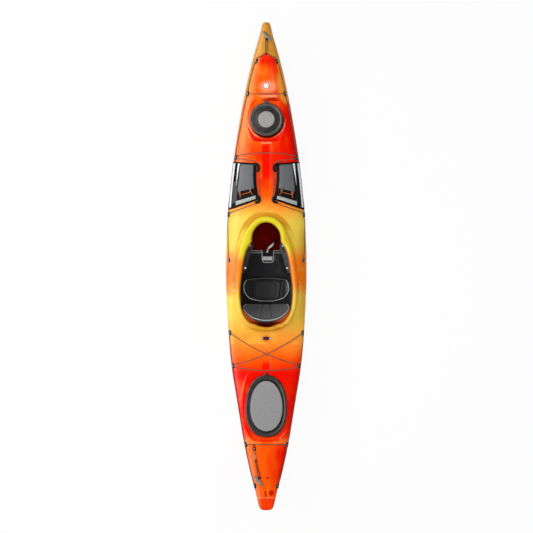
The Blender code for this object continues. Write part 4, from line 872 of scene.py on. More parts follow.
# Darker copy of the side cloth for the starboard bag: painted shade on the side away from the light
BAG_SIDE_SHADED = woven("bag_side_dark", 0.66, (16, 16, 18), (30, 30, 33), 0.0026,
                      Specular_IOR_Level=0.15)
BINDING = woven("bag_binding", 0.5, (4, 4, 4), (14, 14, 14), 0.0018, Specular_IOR_Level=0.2)
GREY_TAPE = mottled("grey_tape", 0.45, (150, 157, 151), (178, 182, 178), 70.0)
SILVER = mottled("reflective_tape", 0.34, (214, 217, 219), (238, 240, 242), 70.0)
SILVER.bump(SILVER.waves("X", 0.004), 0.0002, 0.4)


# Making meshes


def placed(name, data):
    """A new object in the scene."""
    made = bpy.data.objects.new(name, data)
    bpy.context.scene.collection.objects.link(made)
    return made


def piece(name, points, faces, finish, smooth_angle=40.0):
    mesh = bpy.data.meshes.new(name)
    mesh.from_pydata([tuple(p) for p in points], [], faces)
    shape = bmesh.new()
    shape.from_mesh(mesh)
    bmesh.ops.recalc_face_normals(shape, faces=shape.faces)
    shape.to_mesh(mesh)
    shape.free()
    mesh.materials.append(finish.material)
    return shade(placed(name, mesh), smooth_angle)


def shade(made, smooth_angle=40.0):
    for face in made.data.polygons:
        face.use_smooth = True
    made.data.set_sharp_from_angle(angle=math.radians(smooth_angle))
    return made


def skin(rings, closed=False):
    """Points and faces of a skin through rings of equal length, capped unless closed."""
    n = len(rings[0])
    count = len(rings)
    faces = []
    for i in range(count if closed else count - 1):
        a = i * n
        b = (i + 1) % count * n
        faces += [(a + j, a + (j + 1) % n, b + (j + 1) % n, b + j) for j in range(n)]
    if not closed:
        faces += [tuple(range(n)), tuple(range(count * n - 1, (count - 1) * n - 1, -1))]
    return [p for ring in rings for p in ring], faces


def loft(name, rings, finish, closed=False, smooth_angle=40.0):
    points, faces = skin(rings, closed)
    return piece(name, points, faces, finish, smooth_angle)


def directions(path):
    """Which way a path runs at each of its points."""
    return [q - p for p, q in zip([path[0], *path], [*path[1:], path[-1]])]


def turned(name, path, radii, sides, finish, flat=1.0):
    """Round body whose radius changes along a path; flat below one squashes it."""
    rings = []
    for p, run, radius in zip(path, directions(path), radii):
        turn = run.to_track_quat("Y", "Z")
        rings.append([p + turn @ Vector((c, 0.0, s * flat)) * radius for c, s in circle(sides)])
    return loft(name, rings, finish)


def tube(name, path, radius, finish, sides=10):
    return turned(name, [Vector(p) for p in path], [radius] * len(path), sides, finish)


def ribbon(p, across, up):
    """The four corners of a flat band round a point of its path."""
    return [p + across * s + up * t for s, t in CORNERS]


def joined(name, parts):
    """One piece from several."""
    first = parts[0]
    shape = bmesh.new()
    slots = []
    for part in parts:
        for looks in part.data.materials:
            if looks not in slots:
                slots.append(looks)
        before = len(shape.faces)
        shape.from_mesh(part.data)
        shape.faces.ensure_lookup_table()
        for face in shape.faces[before:]:
            face.material_index = slots.index(part.data.materials[face.material_index])
    mesh = bpy.data.meshes.new(name)
    for looks in slots:
        mesh.materials.append(looks)
    shape.to_mesh(mesh)
    shape.free()
    first.data = mesh
    for part in parts[1:]:
        bpy.data.objects.remove(part)
    first.name = name
    return shade(first)


def carve(target, steps):
    """Runs Boolean steps on the target and removes what it used."""
    for operation, other in steps:
        step = target.modifiers.new(operation, "BOOLEAN")
        step.operation = operation
        step.solver = "MANIFOLD"
        step.object = other
        step.material_mode = "TRANSFER"
    graph = bpy.context.evaluated_depsgraph_get()
    mesh = bpy.data.meshes.new_from_object(target.evaluated_get(graph))
    target.modifiers.clear()
    target.data = mesh
    for _, other in steps:
        if other.name in bpy.data.objects:
            bpy.data.objects.remove(other)
    return target


def cut(made, cutters):
    """Cuts the other pieces out of one."""
    return shade(carve(made, [("DIFFERENCE", other) for other in cutters]))


def fit(made, body, slot, *nodes):
    """The piece rides on the body and stands for the nodes; the slot is not used."""
    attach(made, body)
    if nodes:
        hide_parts(*nodes)
    return made


def cord_curve(name, path, radius, finish, node, body="hull", slot="cord_black"):
    """A cord as a smooth curve of one open spline."""
    data = bpy.data.curves.new(name, "CURVE")
    data.dimensions = "3D"
    data.bevel_depth = radius
    data.bevel_resolution = 3
    data.use_fill_caps = True
    line = data.splines.new("POLY")
    line.points.add(len(path) - 1)
    for point, place in zip(line.points, path):
        point.co = (*place, 1.0)
    data.materials.append(finish.material)
    made = fit(placed(name, data), body, slot, node)


# Cockpit rim curves


def coaming_z(y):
    t = (y - COAMING_REAR_Y) / (COAMING_FRONT_Y - COAMING_REAR_Y)
    return COAMING_REAR_Z + (COAMING_FRONT_Z - COAMING_REAR_Z) * t


def coaming_outline(count):
    """Outer edge of the lip, starboard half, front to rear."""
    pts = []
    for i in range(201):
        a = math.pi * i / 200
        c = math.cos(a)
        n = 2.2 if c >= 0 else 2.5
        reach = (COAMING_FRONT_Y if c >= 0 else COAMING_REAR_Y) - COAMING_WIDEST_Y
        y = COAMING_WIDEST_Y + reach * abs(c) ** (2 / n)
        pts.append((COAMING_HALF_WIDTH * abs(math.sin(a)) ** (2 / n), y))
    pts[0] = (0.0, COAMING_FRONT_Y)
    pts[-1] = (0.0, COAMING_REAR_Y)
    return even(pts, count)


def outward(points, i):
    """Unit normal of the half outline at point i, away from the cockpit."""
    if i == 0:
        return (0.0, 1.0)
    if i == len(points) - 1:
        return (0.0, -1.0)
    dx = points[i + 1][0] - points[i - 1][0]
    dy = points[i + 1][1] - points[i - 1][1]
    size = math.hypot(dx, dy)
    return (-dy / size, dx / size)


def mirrored(ring):
    """Close a starboard half outline with its port half."""
    return ring + [(-p[0], *p[1:]) for p in ring[-2:0:-1]]


RIM_STEPS = 80
LIP_EDGE = coaming_outline(RIM_STEPS)
LIP_NORMALS = [outward(LIP_EDGE, i) for i in range(RIM_STEPS + 1)]
RISER = [(x - nx * COAMING_LIP, y - ny * COAMING_LIP)
         for (x, y), (nx, ny) in zip(LIP_EDGE, LIP_NORMALS)]
MOUTH = even([tuple(p)[:2] for p in flowing([(x, y, 0.0) for x, y in COCKPIT_MOUTH], 6)],
             RIM_STEPS)
RIM_FOOT = 0.01
# Profile of the rim: how far out from the riser or in towards the mouth, and how high
RIM_PROFILE = (
    ("out", 0.003, None), ("out", 0.0032, -0.012), ("out", 0.006, -0.0092),
    ("out", 0.017, -0.0092), ("out", 0.0205, -0.0082), ("out", 0.0222, -0.005),
    ("out", 0.0215, -0.0015), ("out", 0.018, 0.002), ("out", 0.01, 0.005),
    ("out", 0.0, 0.006), ("in", 0.25, 0.0052), ("in", 0.5, 0.0026),
    ("in", 0.78, -0.003), ("in", 0.93, -0.009), ("in", 0.99, -0.015),
    ("in", 1.0, -0.0195), ("in", 0.95, -0.0222), ("in", 0.86, -0.0205),
    ("in", 0.72, -0.012), ("in", 0.4, -0.0034), ("out", -0.003, -0.002),
    ("out", -0.003, None),
)


def rim_loop(kind, amount, height):
    half = []
    for (x, y), (nx, ny), (mouth_x, mouth_y) in zip(RISER, LIP_NORMALS, MOUTH):
        if kind == "in":
            nx, ny = mouth_x - x, mouth_y - y
        px, py = x + nx * amount, y + ny * amount
        z = deck_z(x, y) - RIM_FOOT if height is None else coaming_z(py) + height
        half.append((px, py, z))
    for i in (0, -1):
        half[i] = (0.0, *half[i][1:])
    return mirrored(half)


# Hull shell

DECK_STEPS = 84
BOTTOM_STEPS = 26
STATION_STEP = 0.007
# The cavity's own steps, over the deck and round the bottom
CAVITY_STEPS = (44, 18)
# Length of solid plastic at each tip
SOLID_TIP = 0.11
# How far a hatch's hole reaches below and above its shelf
HOLE_DOWN = 0.05
HOLE_UP = 0.15
TIP_STATIONS = (0.045, 0.038, 0.031, 0.025, 0.019, 0.014, 0.0095, 0.006, 0.003, 0.001, 0.0)


def hull_ring(y, inset, deck_steps, bottom_steps):
    """Closed cross-section with the moulded details, drawn in by inset."""
    b = half_beam(y) - inset
    zk = keel_z(y) + inset
    zs = sheer_z(y)
    zd = deck_line_z(y) - inset
    k = (0.048 - 0.04 * min(1.0, abs(y) / HALF) ** 2) * b / half_beam(y)
    nose = clamp((HALF - abs(y)) / TIP_NOSE)
    squeeze = math.sqrt(max(0.02, 1.0 - (1.0 - nose) ** 2))
    right = [(k, zk)]
    n = bottom_power(y)
    for i in range(1, bottom_steps + 1):
        a = 0.5 * math.pi * i / bottom_steps
        x = k + (b - k) * math.sin(a) ** (2.0 / n)
        right.append((x, zs - (zs - zk) * max(0.0, math.cos(a)) ** (2.0 / n)))
    n = deck_power(y)
    top = []
    for i in range(deck_steps - 1, -1, -1):
        t = math.sin(0.5 * math.pi * i / deck_steps)
        top.append((t, zs + (zd - zs) * (1.0 - t ** n) ** (1.0 / n)))
    ring = right + [(t * b, z + relief(t * b, y)) for t, z in top]
    ring += [(-t * b, z + relief(-t * b, y)) for t, z in top[-2::-1]]
    ring += [(-x, z) for x, z in right[::-1]]
    middle = (zd + zs) / 2.0
    return [(x, y, middle + (z - middle) * squeeze) for x, z in ring]


outer_at = [-HALF + e for e in reversed(TIP_STATIONS[1:])]
outer_at += spaced(-HALF + TIP_ROUND, HALF - TIP_ROUND, STATION_STEP)
outer_at += [HALF - e for e in TIP_STATIONS[1:]]
# Extra stations make the rudder step's edge crisp
outer_at = sorted(y for y in outer_at if abs(y - RUDDER_STEP_Y) > 0.003)
outer_at = sorted(outer_at + [RUDDER_STEP_Y - 0.0005, RUDDER_STEP_Y + 0.0005])
# Closer stations where the bow hatch's well has fine edges
outer_at = sorted(outer_at + [(a + b) / 2 for a, b in zip(outer_at, outer_at[1:])
                              if 0.975 < a < 1.385])
hull = loft("hull", [hull_ring(y, 0.0, DECK_STEPS, BOTTOM_STEPS) for y in outer_at], HULL)
cavity = loft("cavity", [hull_ring(y, WALL, *CAVITY_STEPS) for y in spaced(
    SOLID_TIP - HALF, HALF - SOLID_TIP, 2.0 * STATION_STEP)], INSIDE)


def stacked(outline, steps, base=0.0):
    """Rings of an outline, each at an inset and a height above the base."""
    return [[(x, y, base + up) for x, y in outline(inset)] for inset, up in steps]


def prism(name, outline, low, high, finish):
    return loft(name, [[(x, y, z) for x, y in outline] for z in (low, high)], finish)


def collar(name, outline, shelf):
    """Upright wall round a hatch opening, rounded on top; returns it and its hole."""
    wall = loft("wall_" + name, stacked(outline, (
        (0.0, -0.0035), (0.0, COLLAR_HEIGHT - 0.0015), (0.0015, COLLAR_HEIGHT)), shelf), HULL)
    hole = prism("hole_" + name, outline(COLLAR_WALL), shelf - HOLE_DOWN, shelf + HOLE_UP, INSIDE)
    return wall, hole


def bow_oval(inset):
    r = BOW_HATCH_R - COLLAR_INSET - inset
    return oval(0.0, BOW_HATCH_Y, r, r, 2.0, 96)


def stern_oval(inset):
    return oval(0.0, STERN_HATCH_Y, STERN_HATCH_HALF_WIDTH - COLLAR_INSET - inset,
                STERN_HATCH_HALF_LENGTH - COLLAR_INSET - inset, STERN_HATCH_POWER, 120,
                STERN_HATCH_EGG)


bow_wall, bow_hole = collar("bow", bow_oval, BOW_SHELF_Z)
stern_wall, stern_hole = collar("stern", stern_oval, STERN_SHELF_Z)
cockpit_hole = prism("hole_cockpit", mirrored(RISER), 0.2, 0.5, INSIDE)
rim = loft("rim", [rim_loop(*row) for row in RIM_PROFILE], RIM, closed=True)
carve(hull, [
    ("UNION", bow_wall), ("UNION", stern_wall), ("DIFFERENCE", cavity),
    ("DIFFERENCE", bow_hole), ("DIFFERENCE", stern_hole), ("DIFFERENCE", cockpit_hole),
    ("UNION", rim),
])
store_colours(hull)
shade(hull, 32.0)
fit(hull, "hull", "moulded_plastic", "hull_shell")

# Hatch covers


def hatch_outline(cy, rx, ry, power, egg, count, inner=None):
    """Outline by inset; from the lip inwards it turns into the inner one, if there is one."""
    def outline(inset):
        rim = oval(0.0, cy, rx - inset, ry - inset, power, count, egg)
        if inner is None or inset <= HATCH_LIP:
            return rim
        end_inset, inner_power = inner
        share = ease(HATCH_LIP, 0.03, inset)
        core = oval(0.0, cy, rx - inset, ry - inset - end_inset, inner_power, count, egg)
        return [mixed(p, q, share) for p, q in zip(rim, core)]
    return outline


HATCH_LIP = 0.0135
# Rows of a cover's profile on top of its rolled lip and its flat band, which keep the plain rubber;
# the other rows take its darker copy, painted shade
LIGHT_ROWS = (9, 15)
# Tab at a cover's bow edge, from its root: reach, half-width, thickness
TAB_ROOT = ((-0.008, 0.026, 0.0048), (0.0, 0.0215, 0.0048), (0.006, 0.0165, 0.0046),
            (0.012, 0.013, 0.0042))
TAB_Z = 0.0082
# Insets and heights of the centre panel, above the cover's top
PANEL_STEPS = ((0.0, 0.0), (0.0, 0.0024), (0.0008, 0.0034), (0.0026, 0.004), (0.01, 0.0044),
               (0.03, 0.0048))
PANEL_UP = 0.0025


def hatch(label, node, outline, shelf, inset, tab_length, tab_y, finish, rubber, edge):
    """Rubber cover pulled over its collar, with a tab at the bow side and a centre panel."""
    top = shelf + COLLAR_HEIGHT
    profile = (
        (0.0122, top + 0.0003), (0.0122, shelf + 0.0017), (0.001, shelf + 0.0015),
        (0.0, shelf + 0.003), (0.0, shelf + 0.0075), (0.0012, shelf + 0.009),
        (0.0012, shelf + 0.011), (0.0, shelf + 0.0125), (0.0004, top - 0.001),
        (0.0022, top + 0.0038), (0.0055, top + 0.0068), (0.0095, top + 0.0084),
        (0.0135, top + 0.0083), (0.017, top + 0.0062), (0.0195, top + 0.0044),
        (0.024, top + 0.004), (0.0275, top + 0.0046), (inset - 0.0075, top + 0.0046),
        (inset - 0.005, top + 0.0062), (inset - 0.002, top + 0.0062),
        (inset - 0.0004, top + 0.005), (inset - 0.0004, top + 0.0022),
    )
    rings = stacked(outline, profile)
    cover = loft(label + "_shell", rings, rubber)
    # Rows off the top take the darker rubber as painted shade
    cover.data.materials.append(edge.material)
    for k, face in enumerate(cover.data.polygons):
        row = k // len(rings[0])
        face.material_index = 0 if LIGHT_ROWS[0] <= row < LIGHT_ROWS[1] else 1
    steps = TAB_ROOT + ((tab_length - 0.003, 0.0105, 0.0038), (tab_length, 0.007, 0.0026))
    tab = loft(label + "_tab", [
        [(half_width * bulged(c, 0.5), tab_y + reach, shelf + TAB_Z + 0.5 * thick * bulged(s, 0.8))
         for c, s in circle(16)] for reach, half_width, thick in steps], rubber)
    fit(joined(label + "_cover", [cover, tab]), node, "hatch_rubber", node + "_cover")
    panel = stacked(lambda in_by: outline(inset + in_by), PANEL_STEPS, top + PANEL_UP)
    fit(loft(label + "_insert", panel, finish), node, "grey_insert", node + "_insert")


hatch("bow_round", "bow_hatch",
      hatch_outline(BOW_HATCH_Y, BOW_HATCH_R, BOW_HATCH_R, 2.0, 0.0, 96), BOW_SHELF_Z,
      0.068, 0.02, BOW_HATCH_FRONT, PALE_INSERT, RUBBER, RUBBER_SHADED)
hatch("stern_oval", "stern_hatch",
      hatch_outline(STERN_HATCH_Y, STERN_HATCH_HALF_WIDTH, STERN_HATCH_HALF_LENGTH,
                    STERN_HATCH_POWER, STERN_HATCH_EGG, 120, (0.01, 2.08)), STERN_SHELF_Z,
      0.037, 0.017, STERN_HATCH_FRONT, INSERT, DARK_RUBBER, DARK_RUBBER_SHADED)

# Deck fittings

TUNNEL_OUT = 0.004
TUNNEL_UP = 0.0055
LINE_R = 0.0026
LINE_BORE_R = LINE_R + 0.0008
BUNGEE_R = 0.003
BUNGEE_BORE_R = BUNGEE_R + 0.0007
LINE_LIFT = 0.0048
BUNGEE_LIFT = 0.0052
LINE_STEP = 0.045
BUNGEE_STEP = 0.03
# How far a bungee's last two points stand from the middle of its eye
BUNGEE_ENDS = (0.0045, 0.015)
# Half-length, half-width and height of the eyes, and of the smaller ones of line and handle
EYE_SIZE = (0.022, 0.01, 0.012)
LINE_END_SIZE = (0.018, 0.0105, 0.01)
STERN_EYE_SIZE = (0.014, 0.009, 0.01)
# Share of the radius and height of a screw head's steps, for a radius of 4 mm
SCREW_STEPS = ((1.0, -0.0012), (1.0, 0.0002), (0.94, 0.0009), (0.7, 0.0016), (0.36, 0.0019))
SCREW_R = 0.004
# Name, distance from the centreline, station, turn from the bow in degrees, bungee holes
FITTINGS = (
    ("bow_end_eye", 0.0793, 1.6343, 26.0, ()),
    ("hatch_eye", 0.1465, BOW_HATCH_FRONT + 0.0725, 12.0, (0.0,)),
    ("bag_front_eye", 0.241, 0.871, 9.0, (0.011, -0.011)),
    ("bag_rear_eye", 0.2975, COAMING_FRONT_Y + 0.0165, 3.0, (0.011,)),
    ("cockpit_rear_eye", 0.29, COAMING_REAR_Y - 0.015, -5.0, (-0.008,)),
    ("bungee_eye", 0.2655, STERN_HATCH_FRONT + 0.0715, -8.0, (0.011, -0.011)),
    ("stern_hatch_eye", 0.164, STERN_HATCH_REAR - 0.06, -12.0, (0.0,)),
    ("stern_end_eye", 0.089, -1.75, -14.0, ()),
)


def stadium(half_length, half_width, inset, corner_steps=8):
    """Rounded outline in local X and Y."""
    r = half_width - inset
    straight = half_length - half_width
    return [(r * math.cos(a), sign * straight + r * math.sin(a))
            for sign, start in ((1, 0.0), (-1, math.pi))
            for a in (start + math.pi * i / corner_steps for i in range(corner_steps + 1))]


def pierced(name, place, half_length, half_width, height, tunnels, finish):
    """Low rounded block set into the deck, bored by tunnels of (start, end, radius)."""
    steps = ((0.0, -0.003), (0.0, 0.0016), (0.001, 0.0024), (0.001, height * 0.6),
             (0.0016, height * 0.78), (0.003, height * 0.93), (0.0052, height),
             (0.008, height * 1.02))
    rings = stacked(lambda inset: stadium(half_length, half_width, inset), steps)
    body = loft(name, [[place @ Vector(p) for p in ring] for ring in rings], finish)
    bores = [tube("bore_%s_%d" % (name, k), (place @ Vector(a), place @ Vector(b)), r, finish, 14)
             for k, (a, b, r) in enumerate(tunnels)]
    return cut(body, bores) if bores else body


def screw(name, centre, normal, radius, finish=SCREW):
    """Domed screw head with a cross slot."""
    turn = normal.to_track_quat("Z", "Y")
    head = loft(name, [
        [centre + turn @ Vector((c * radius * share, s * radius * share, up * radius / SCREW_R))
         for c, s in circle(20)] for share, up in SCREW_STEPS], finish)
    slots = [loft("slot_%s_%d" % (name, k), [
        [centre + turn @ Vector((s * radius * wide, t * radius * long, radius * z))
         for s, t in CORNERS] for z in (0.22, 0.7)], finish)
        for k, (wide, long) in enumerate(((0.52, 0.12), (0.12, 0.52)))]
    return cut(head, slots)


def deck_eye(name, place, size, tunnels, screw_at, screw_r, finish=NYLON, slot="black_nylon"):
    """Eye bored for its cords, with the screw that holds it."""
    body = pierced(name + "_body", place, *size, tunnels, finish)
    head = screw(name + "_screw", place @ Vector(screw_at), place.to_3x3() @ UP, screw_r)
    fit(joined(name + "_fitting", [body, head]), "hull", slot, name)


LINE_END_X = 0.2975
LINE_END_Y = 0.0486
EYES = {}
for label, x, y, turn, holes in FITTINGS:
    for side_name, side in SIDES:
        name = label + "_" + side_name
        place = deck_frame(side * x, y, side * math.radians(turn))
        tunnels = [((side * TUNNEL_OUT, -0.03, TUNNEL_UP), (side * TUNNEL_OUT, 0.03, TUNNEL_UP),
                    LINE_BORE_R)]
        tunnels += [((-side * 0.014, hole, TUNNEL_UP), (-side * 0.0025, hole, TUNNEL_UP),
                     BUNGEE_BORE_R) for hole in holes]
        deck_eye(name, place, EYE_SIZE, tunnels, (-side * 0.001, 0.0, 0.0122), 0.0038)
        EYES[name] = (place, side)
for side_name, side in SIDES:
    name = "line_end_eye_" + side_name
    place = deck_frame(side * LINE_END_X, LINE_END_Y, 0.0)
    deck_eye(name, place, LINE_END_SIZE,
             [((0.0, 0.004, 0.005), (0.0, 0.03, 0.005), LINE_BORE_R)], (0.0, -0.005, 0.0101),
             0.0036, SLATE, "grey_plastic")
    EYES[name] = (place, side)


# Perimeter lines and bungees


def over_deck(p, q, lift, step, bow=0.0):
    """Points between p and q lying on the deck; bow bends the run along Y."""
    n = max(2, int(math.hypot(q[0] - p[0], q[1] - p[1]) / step))
    return [deck_point(p[0] + (q[0] - p[0]) * t, p[1] + (q[1] - p[1]) * t + bow * 4 * t * (1 - t),
                       lift) for t in (i / n for i in range(1, n))]


def in_eye(name, x, ys, z):
    """Points in an eye's frame; x counts outwards."""
    place, side = EYES[name]
    return [place @ Vector((side * x, y, z)) for y in ys]


def through(name, rearwards=False):
    """Two points of the line where it passes through a fitting's tunnel."""
    return in_eye(name, TUNNEL_OUT, (0.025, -0.025) if rearwards else (-0.025, 0.025), TUNNEL_UP)


def run_line(stops, lift):
    """Join groups of points with runs that lie on the deck."""
    path = list(stops[0])
    for group in stops[1:]:
        path += over_deck(path[-1], group[0], lift, LINE_STEP)
        path += list(group)
    return flowing(path, 3)


APEX_Y = 1.694
order = ("bag_rear_eye", "bag_front_eye", "hatch_eye", "bow_end_eye")
stops = [in_eye("line_end_eye_port", 0.0, (0.006, 0.021), 0.005)]
stops += [through(n + "_port") for n in order]
stops.append([deck_point(x, APEX_Y - 0.75 * max(0.0, abs(x) - 0.0015), LINE_LIFT)
              for x in (-0.014, -0.005, 0.005, 0.014)])
stops += [through(n + "_starboard", True) for n in order[::-1]]
stops.append(in_eye("line_end_eye_starboard", 0.0, (0.021, 0.006), 0.005))
cord_curve("bow_line", run_line(stops, LINE_LIFT), LINE_R, LINE, "bow_perimeter_line")
for side_name, _ in SIDES:
    stops = [in_eye("cockpit_rear_eye_" + side_name, TUNNEL_OUT, (0.0, -0.025), TUNNEL_UP),
             through("bungee_eye_" + side_name, True),
             through("stern_hatch_eye_" + side_name, True),
             in_eye("stern_end_eye_" + side_name, TUNNEL_OUT, (0.025, 0.0), TUNNEL_UP)]
    cord_curve("stern_line_" + side_name, run_line(stops, LINE_LIFT), LINE_R, LINE,
               "stern_perimeter_line_" + side_name)


def bungee(node, start, end, middle, parts=2):
    """Bungee between two blind holes, each an eye's name and the hole's place along it."""
    a, b = ([in_eye(name, -x, (hole,), TUNNEL_UP)[0] for x in BUNGEE_ENDS]
            for name, hole in (start, end))
    b = b[::-1]
    path = a + middle(a[-1], b[0]) + b
    cord_curve(node + "_cord", flowing(path, parts), BUNGEE_R, BUNGEE, node)


def straight_over(bow, hump=0.0):
    """Run across the deck, bent along Y and lifted over what it crosses on the centreline."""
    def middle(p, q):
        return [r + Vector((0, 0, hump * math.exp(-((r.x / 0.06) ** 2))))
                for r in over_deck(p, q, BUNGEE_LIFT, BUNGEE_STEP, bow)]
    return middle


def round_bag(side):
    """Run along the front and the inner edge of a bag, and back out behind it."""
    def middle(_, q):
        run = [deck_point(side * x, y, BUNGEE_LIFT) for x, y in BAG_FRAME]
        return run + over_deck(run[-1], q, BUNGEE_LIFT + 0.0008, BUNGEE_STEP)
    return middle


BAG_FRAME = ((0.19, 0.857), (0.145, 0.846), (0.092, 0.838), (0.066, 0.818), (0.059, 0.79),
             (0.059, 0.74), (0.059, 0.68), (0.056, 0.62), (0.05, 0.56),
             (0.044, 0.528), (0.056, 0.512), (0.1, 0.494), (0.17, 0.47))
for node, eye, hole, bow in (("bow_bungee_front", "hatch_eye_", 0.0, 0.0),
                             ("bow_bungee_rear", "bag_front_eye_", 0.011, 0.024),
                             ("stern_bungee_front", "bungee_eye_", -0.011, -0.026),
                             ("stern_bungee_rear", "stern_hatch_eye_", 0.0, 0.0)):
    bungee(node, (eye + "port", hole), (eye + "starboard", hole), straight_over(bow))
for node, near, far, hump in (("diagonal_bungee_lower", "port", "starboard", 0.0),
                              ("diagonal_bungee_upper", "starboard", "port", 0.0085)):
    bungee(node, ("cockpit_rear_eye_" + near, -0.008), ("bungee_eye_" + far, 0.011),
           straight_over(-0.034, hump))
for side_name, side in SIDES:
    bungee("bag_bungee_" + side_name, ("bag_front_eye_" + side_name, -0.011),
           ("bag_rear_eye_" + side_name, 0.011), round_bag(side), 3)

# Deck bags

BAG_CORNERS = ((0.252, 0.831), (0.078, 0.816), (0.06, 0.534), (0.29, 0.456))
BAG_EDGE = 0.0055
BAG_BULGE = 0.017
BAG_ON_DECK = 0.0016
BAG_OVER_LINE = 0.0092
HEM_DROP = 0.0022
# How far the sewn-on sheets reach into the bag
SHEET_DROP = 0.0012


def bag_xy(u, v):
    (ax, ay), (bx, by), (cx, cy), (dx, dy) = BAG_CORNERS
    x = (ax * (1 - u) + bx * u) * (1 - v) + (dx * (1 - u) + cx * u) * v
    y = (ay * (1 - u) + by * u) * (1 - v) + (dy * (1 - u) + cy * u) * v
    return x + 0.014 * u ** 3 * math.sin(math.pi * v), y


def bag_uv(x, y):
    """Closest place on the bag, in shares of its width and length."""
    best = min((math.dist(bag_xy(i / 60, j / 60), (x, y)), i, j)
               for i in range(61) for j in range(61))
    return best[1] / 60, best[2] / 60


def bag_seat(u):
    """Underside above the deck; the outer hem passes over the perimeter line."""
    return BAG_OVER_LINE + (BAG_ON_DECK - BAG_OVER_LINE) * ramp(0.1, 0.26, u)


def bag_thickness(u, v):
    swell = (math.sin(math.pi * clamp(u)) * math.sin(math.pi * clamp(v))) ** 0.55
    crease = 0.003 * math.exp(-(((v - 0.8) / 0.035) ** 2))
    sag = 0.0022 * math.exp(-(((v - 0.42) / 0.16) ** 2) - ((u - 0.55) / 0.22) ** 2)
    fold = noise.noise(Vector((u * 3.1, v * 4.3, 2.0))) * 0.0016
    return BAG_EDGE + (BAG_BULGE - crease - sag + fold) * swell


def bag_surface(side, u, v, lift=0.0):
    x, y = bag_xy(u, v)
    return deck_point(side * x, y, bag_seat(u) + bag_thickness(u, v) + lift)


def patchwork(name, side, across, along, lift, finish):
    """Thin sheet on a bag; across are its two edges as (share, change along the bag)."""
    (near, near_turn), (far, far_turn), steps = across
    rings = []
    for v in shares(*along):
        us = shares(near + near_turn * v, far + far_turn * v, steps)
        rings.append([bag_surface(side, u, v, lift) for u in us]
                     + [bag_surface(side, u, v, -SHEET_DROP) for u in reversed(us)])
    return loft(name, rings, finish)


# Route of a bag's orange cord through both of its locks
LOCK_CORD = ((0.207, 0.546), (0.1985, 0.556), (0.203, 0.57), (0.2035, 0.594),
             (0.2008, 0.6), (0.198, 0.594), (0.1975, 0.574), (0.186, 0.574),
             (0.16, 0.581), (0.134, 0.588), (0.125, 0.594), (0.1245, 0.617),
             (0.1218, 0.623), (0.1192, 0.617), (0.1188, 0.594), (0.11, 0.578),
             (0.105, 0.571))
TIE_R = 0.0022
TIE_LIFT = 0.006
LOCK_LIFT = 0.0056
# Height of the orange loops on the locks above the locks' own
LOOP_LIFT = 0.0078
LOCK_RADII = (0.006, 0.0125, 0.0138, 0.0122, 0.0122, 0.0138, 0.0125, 0.006)
# Both ends of each cord lock
CORD_LOCKS = (((0.2008, 0.5675), (0.2008, 0.5965)), ((0.1218, 0.5905), (0.1218, 0.6195)))

# Webbing loops at the bags' inner corners, which go round the bungees
BAG_HOOKS = (
    ((0.108, 0.815, 0.012), (0.086, 0.814, 0.012), (0.068, 0.806, 0.0115),
     (0.06, 0.788, 0.011), (0.064, 0.766, 0.011), (0.074, 0.752, 0.012)),
    ((0.08, 0.562, 0.012), (0.066, 0.554, 0.0115), (0.056, 0.538, 0.011),
     (0.056, 0.522, 0.011), (0.07, 0.51, 0.0115), (0.09, 0.508, 0.012)),
)

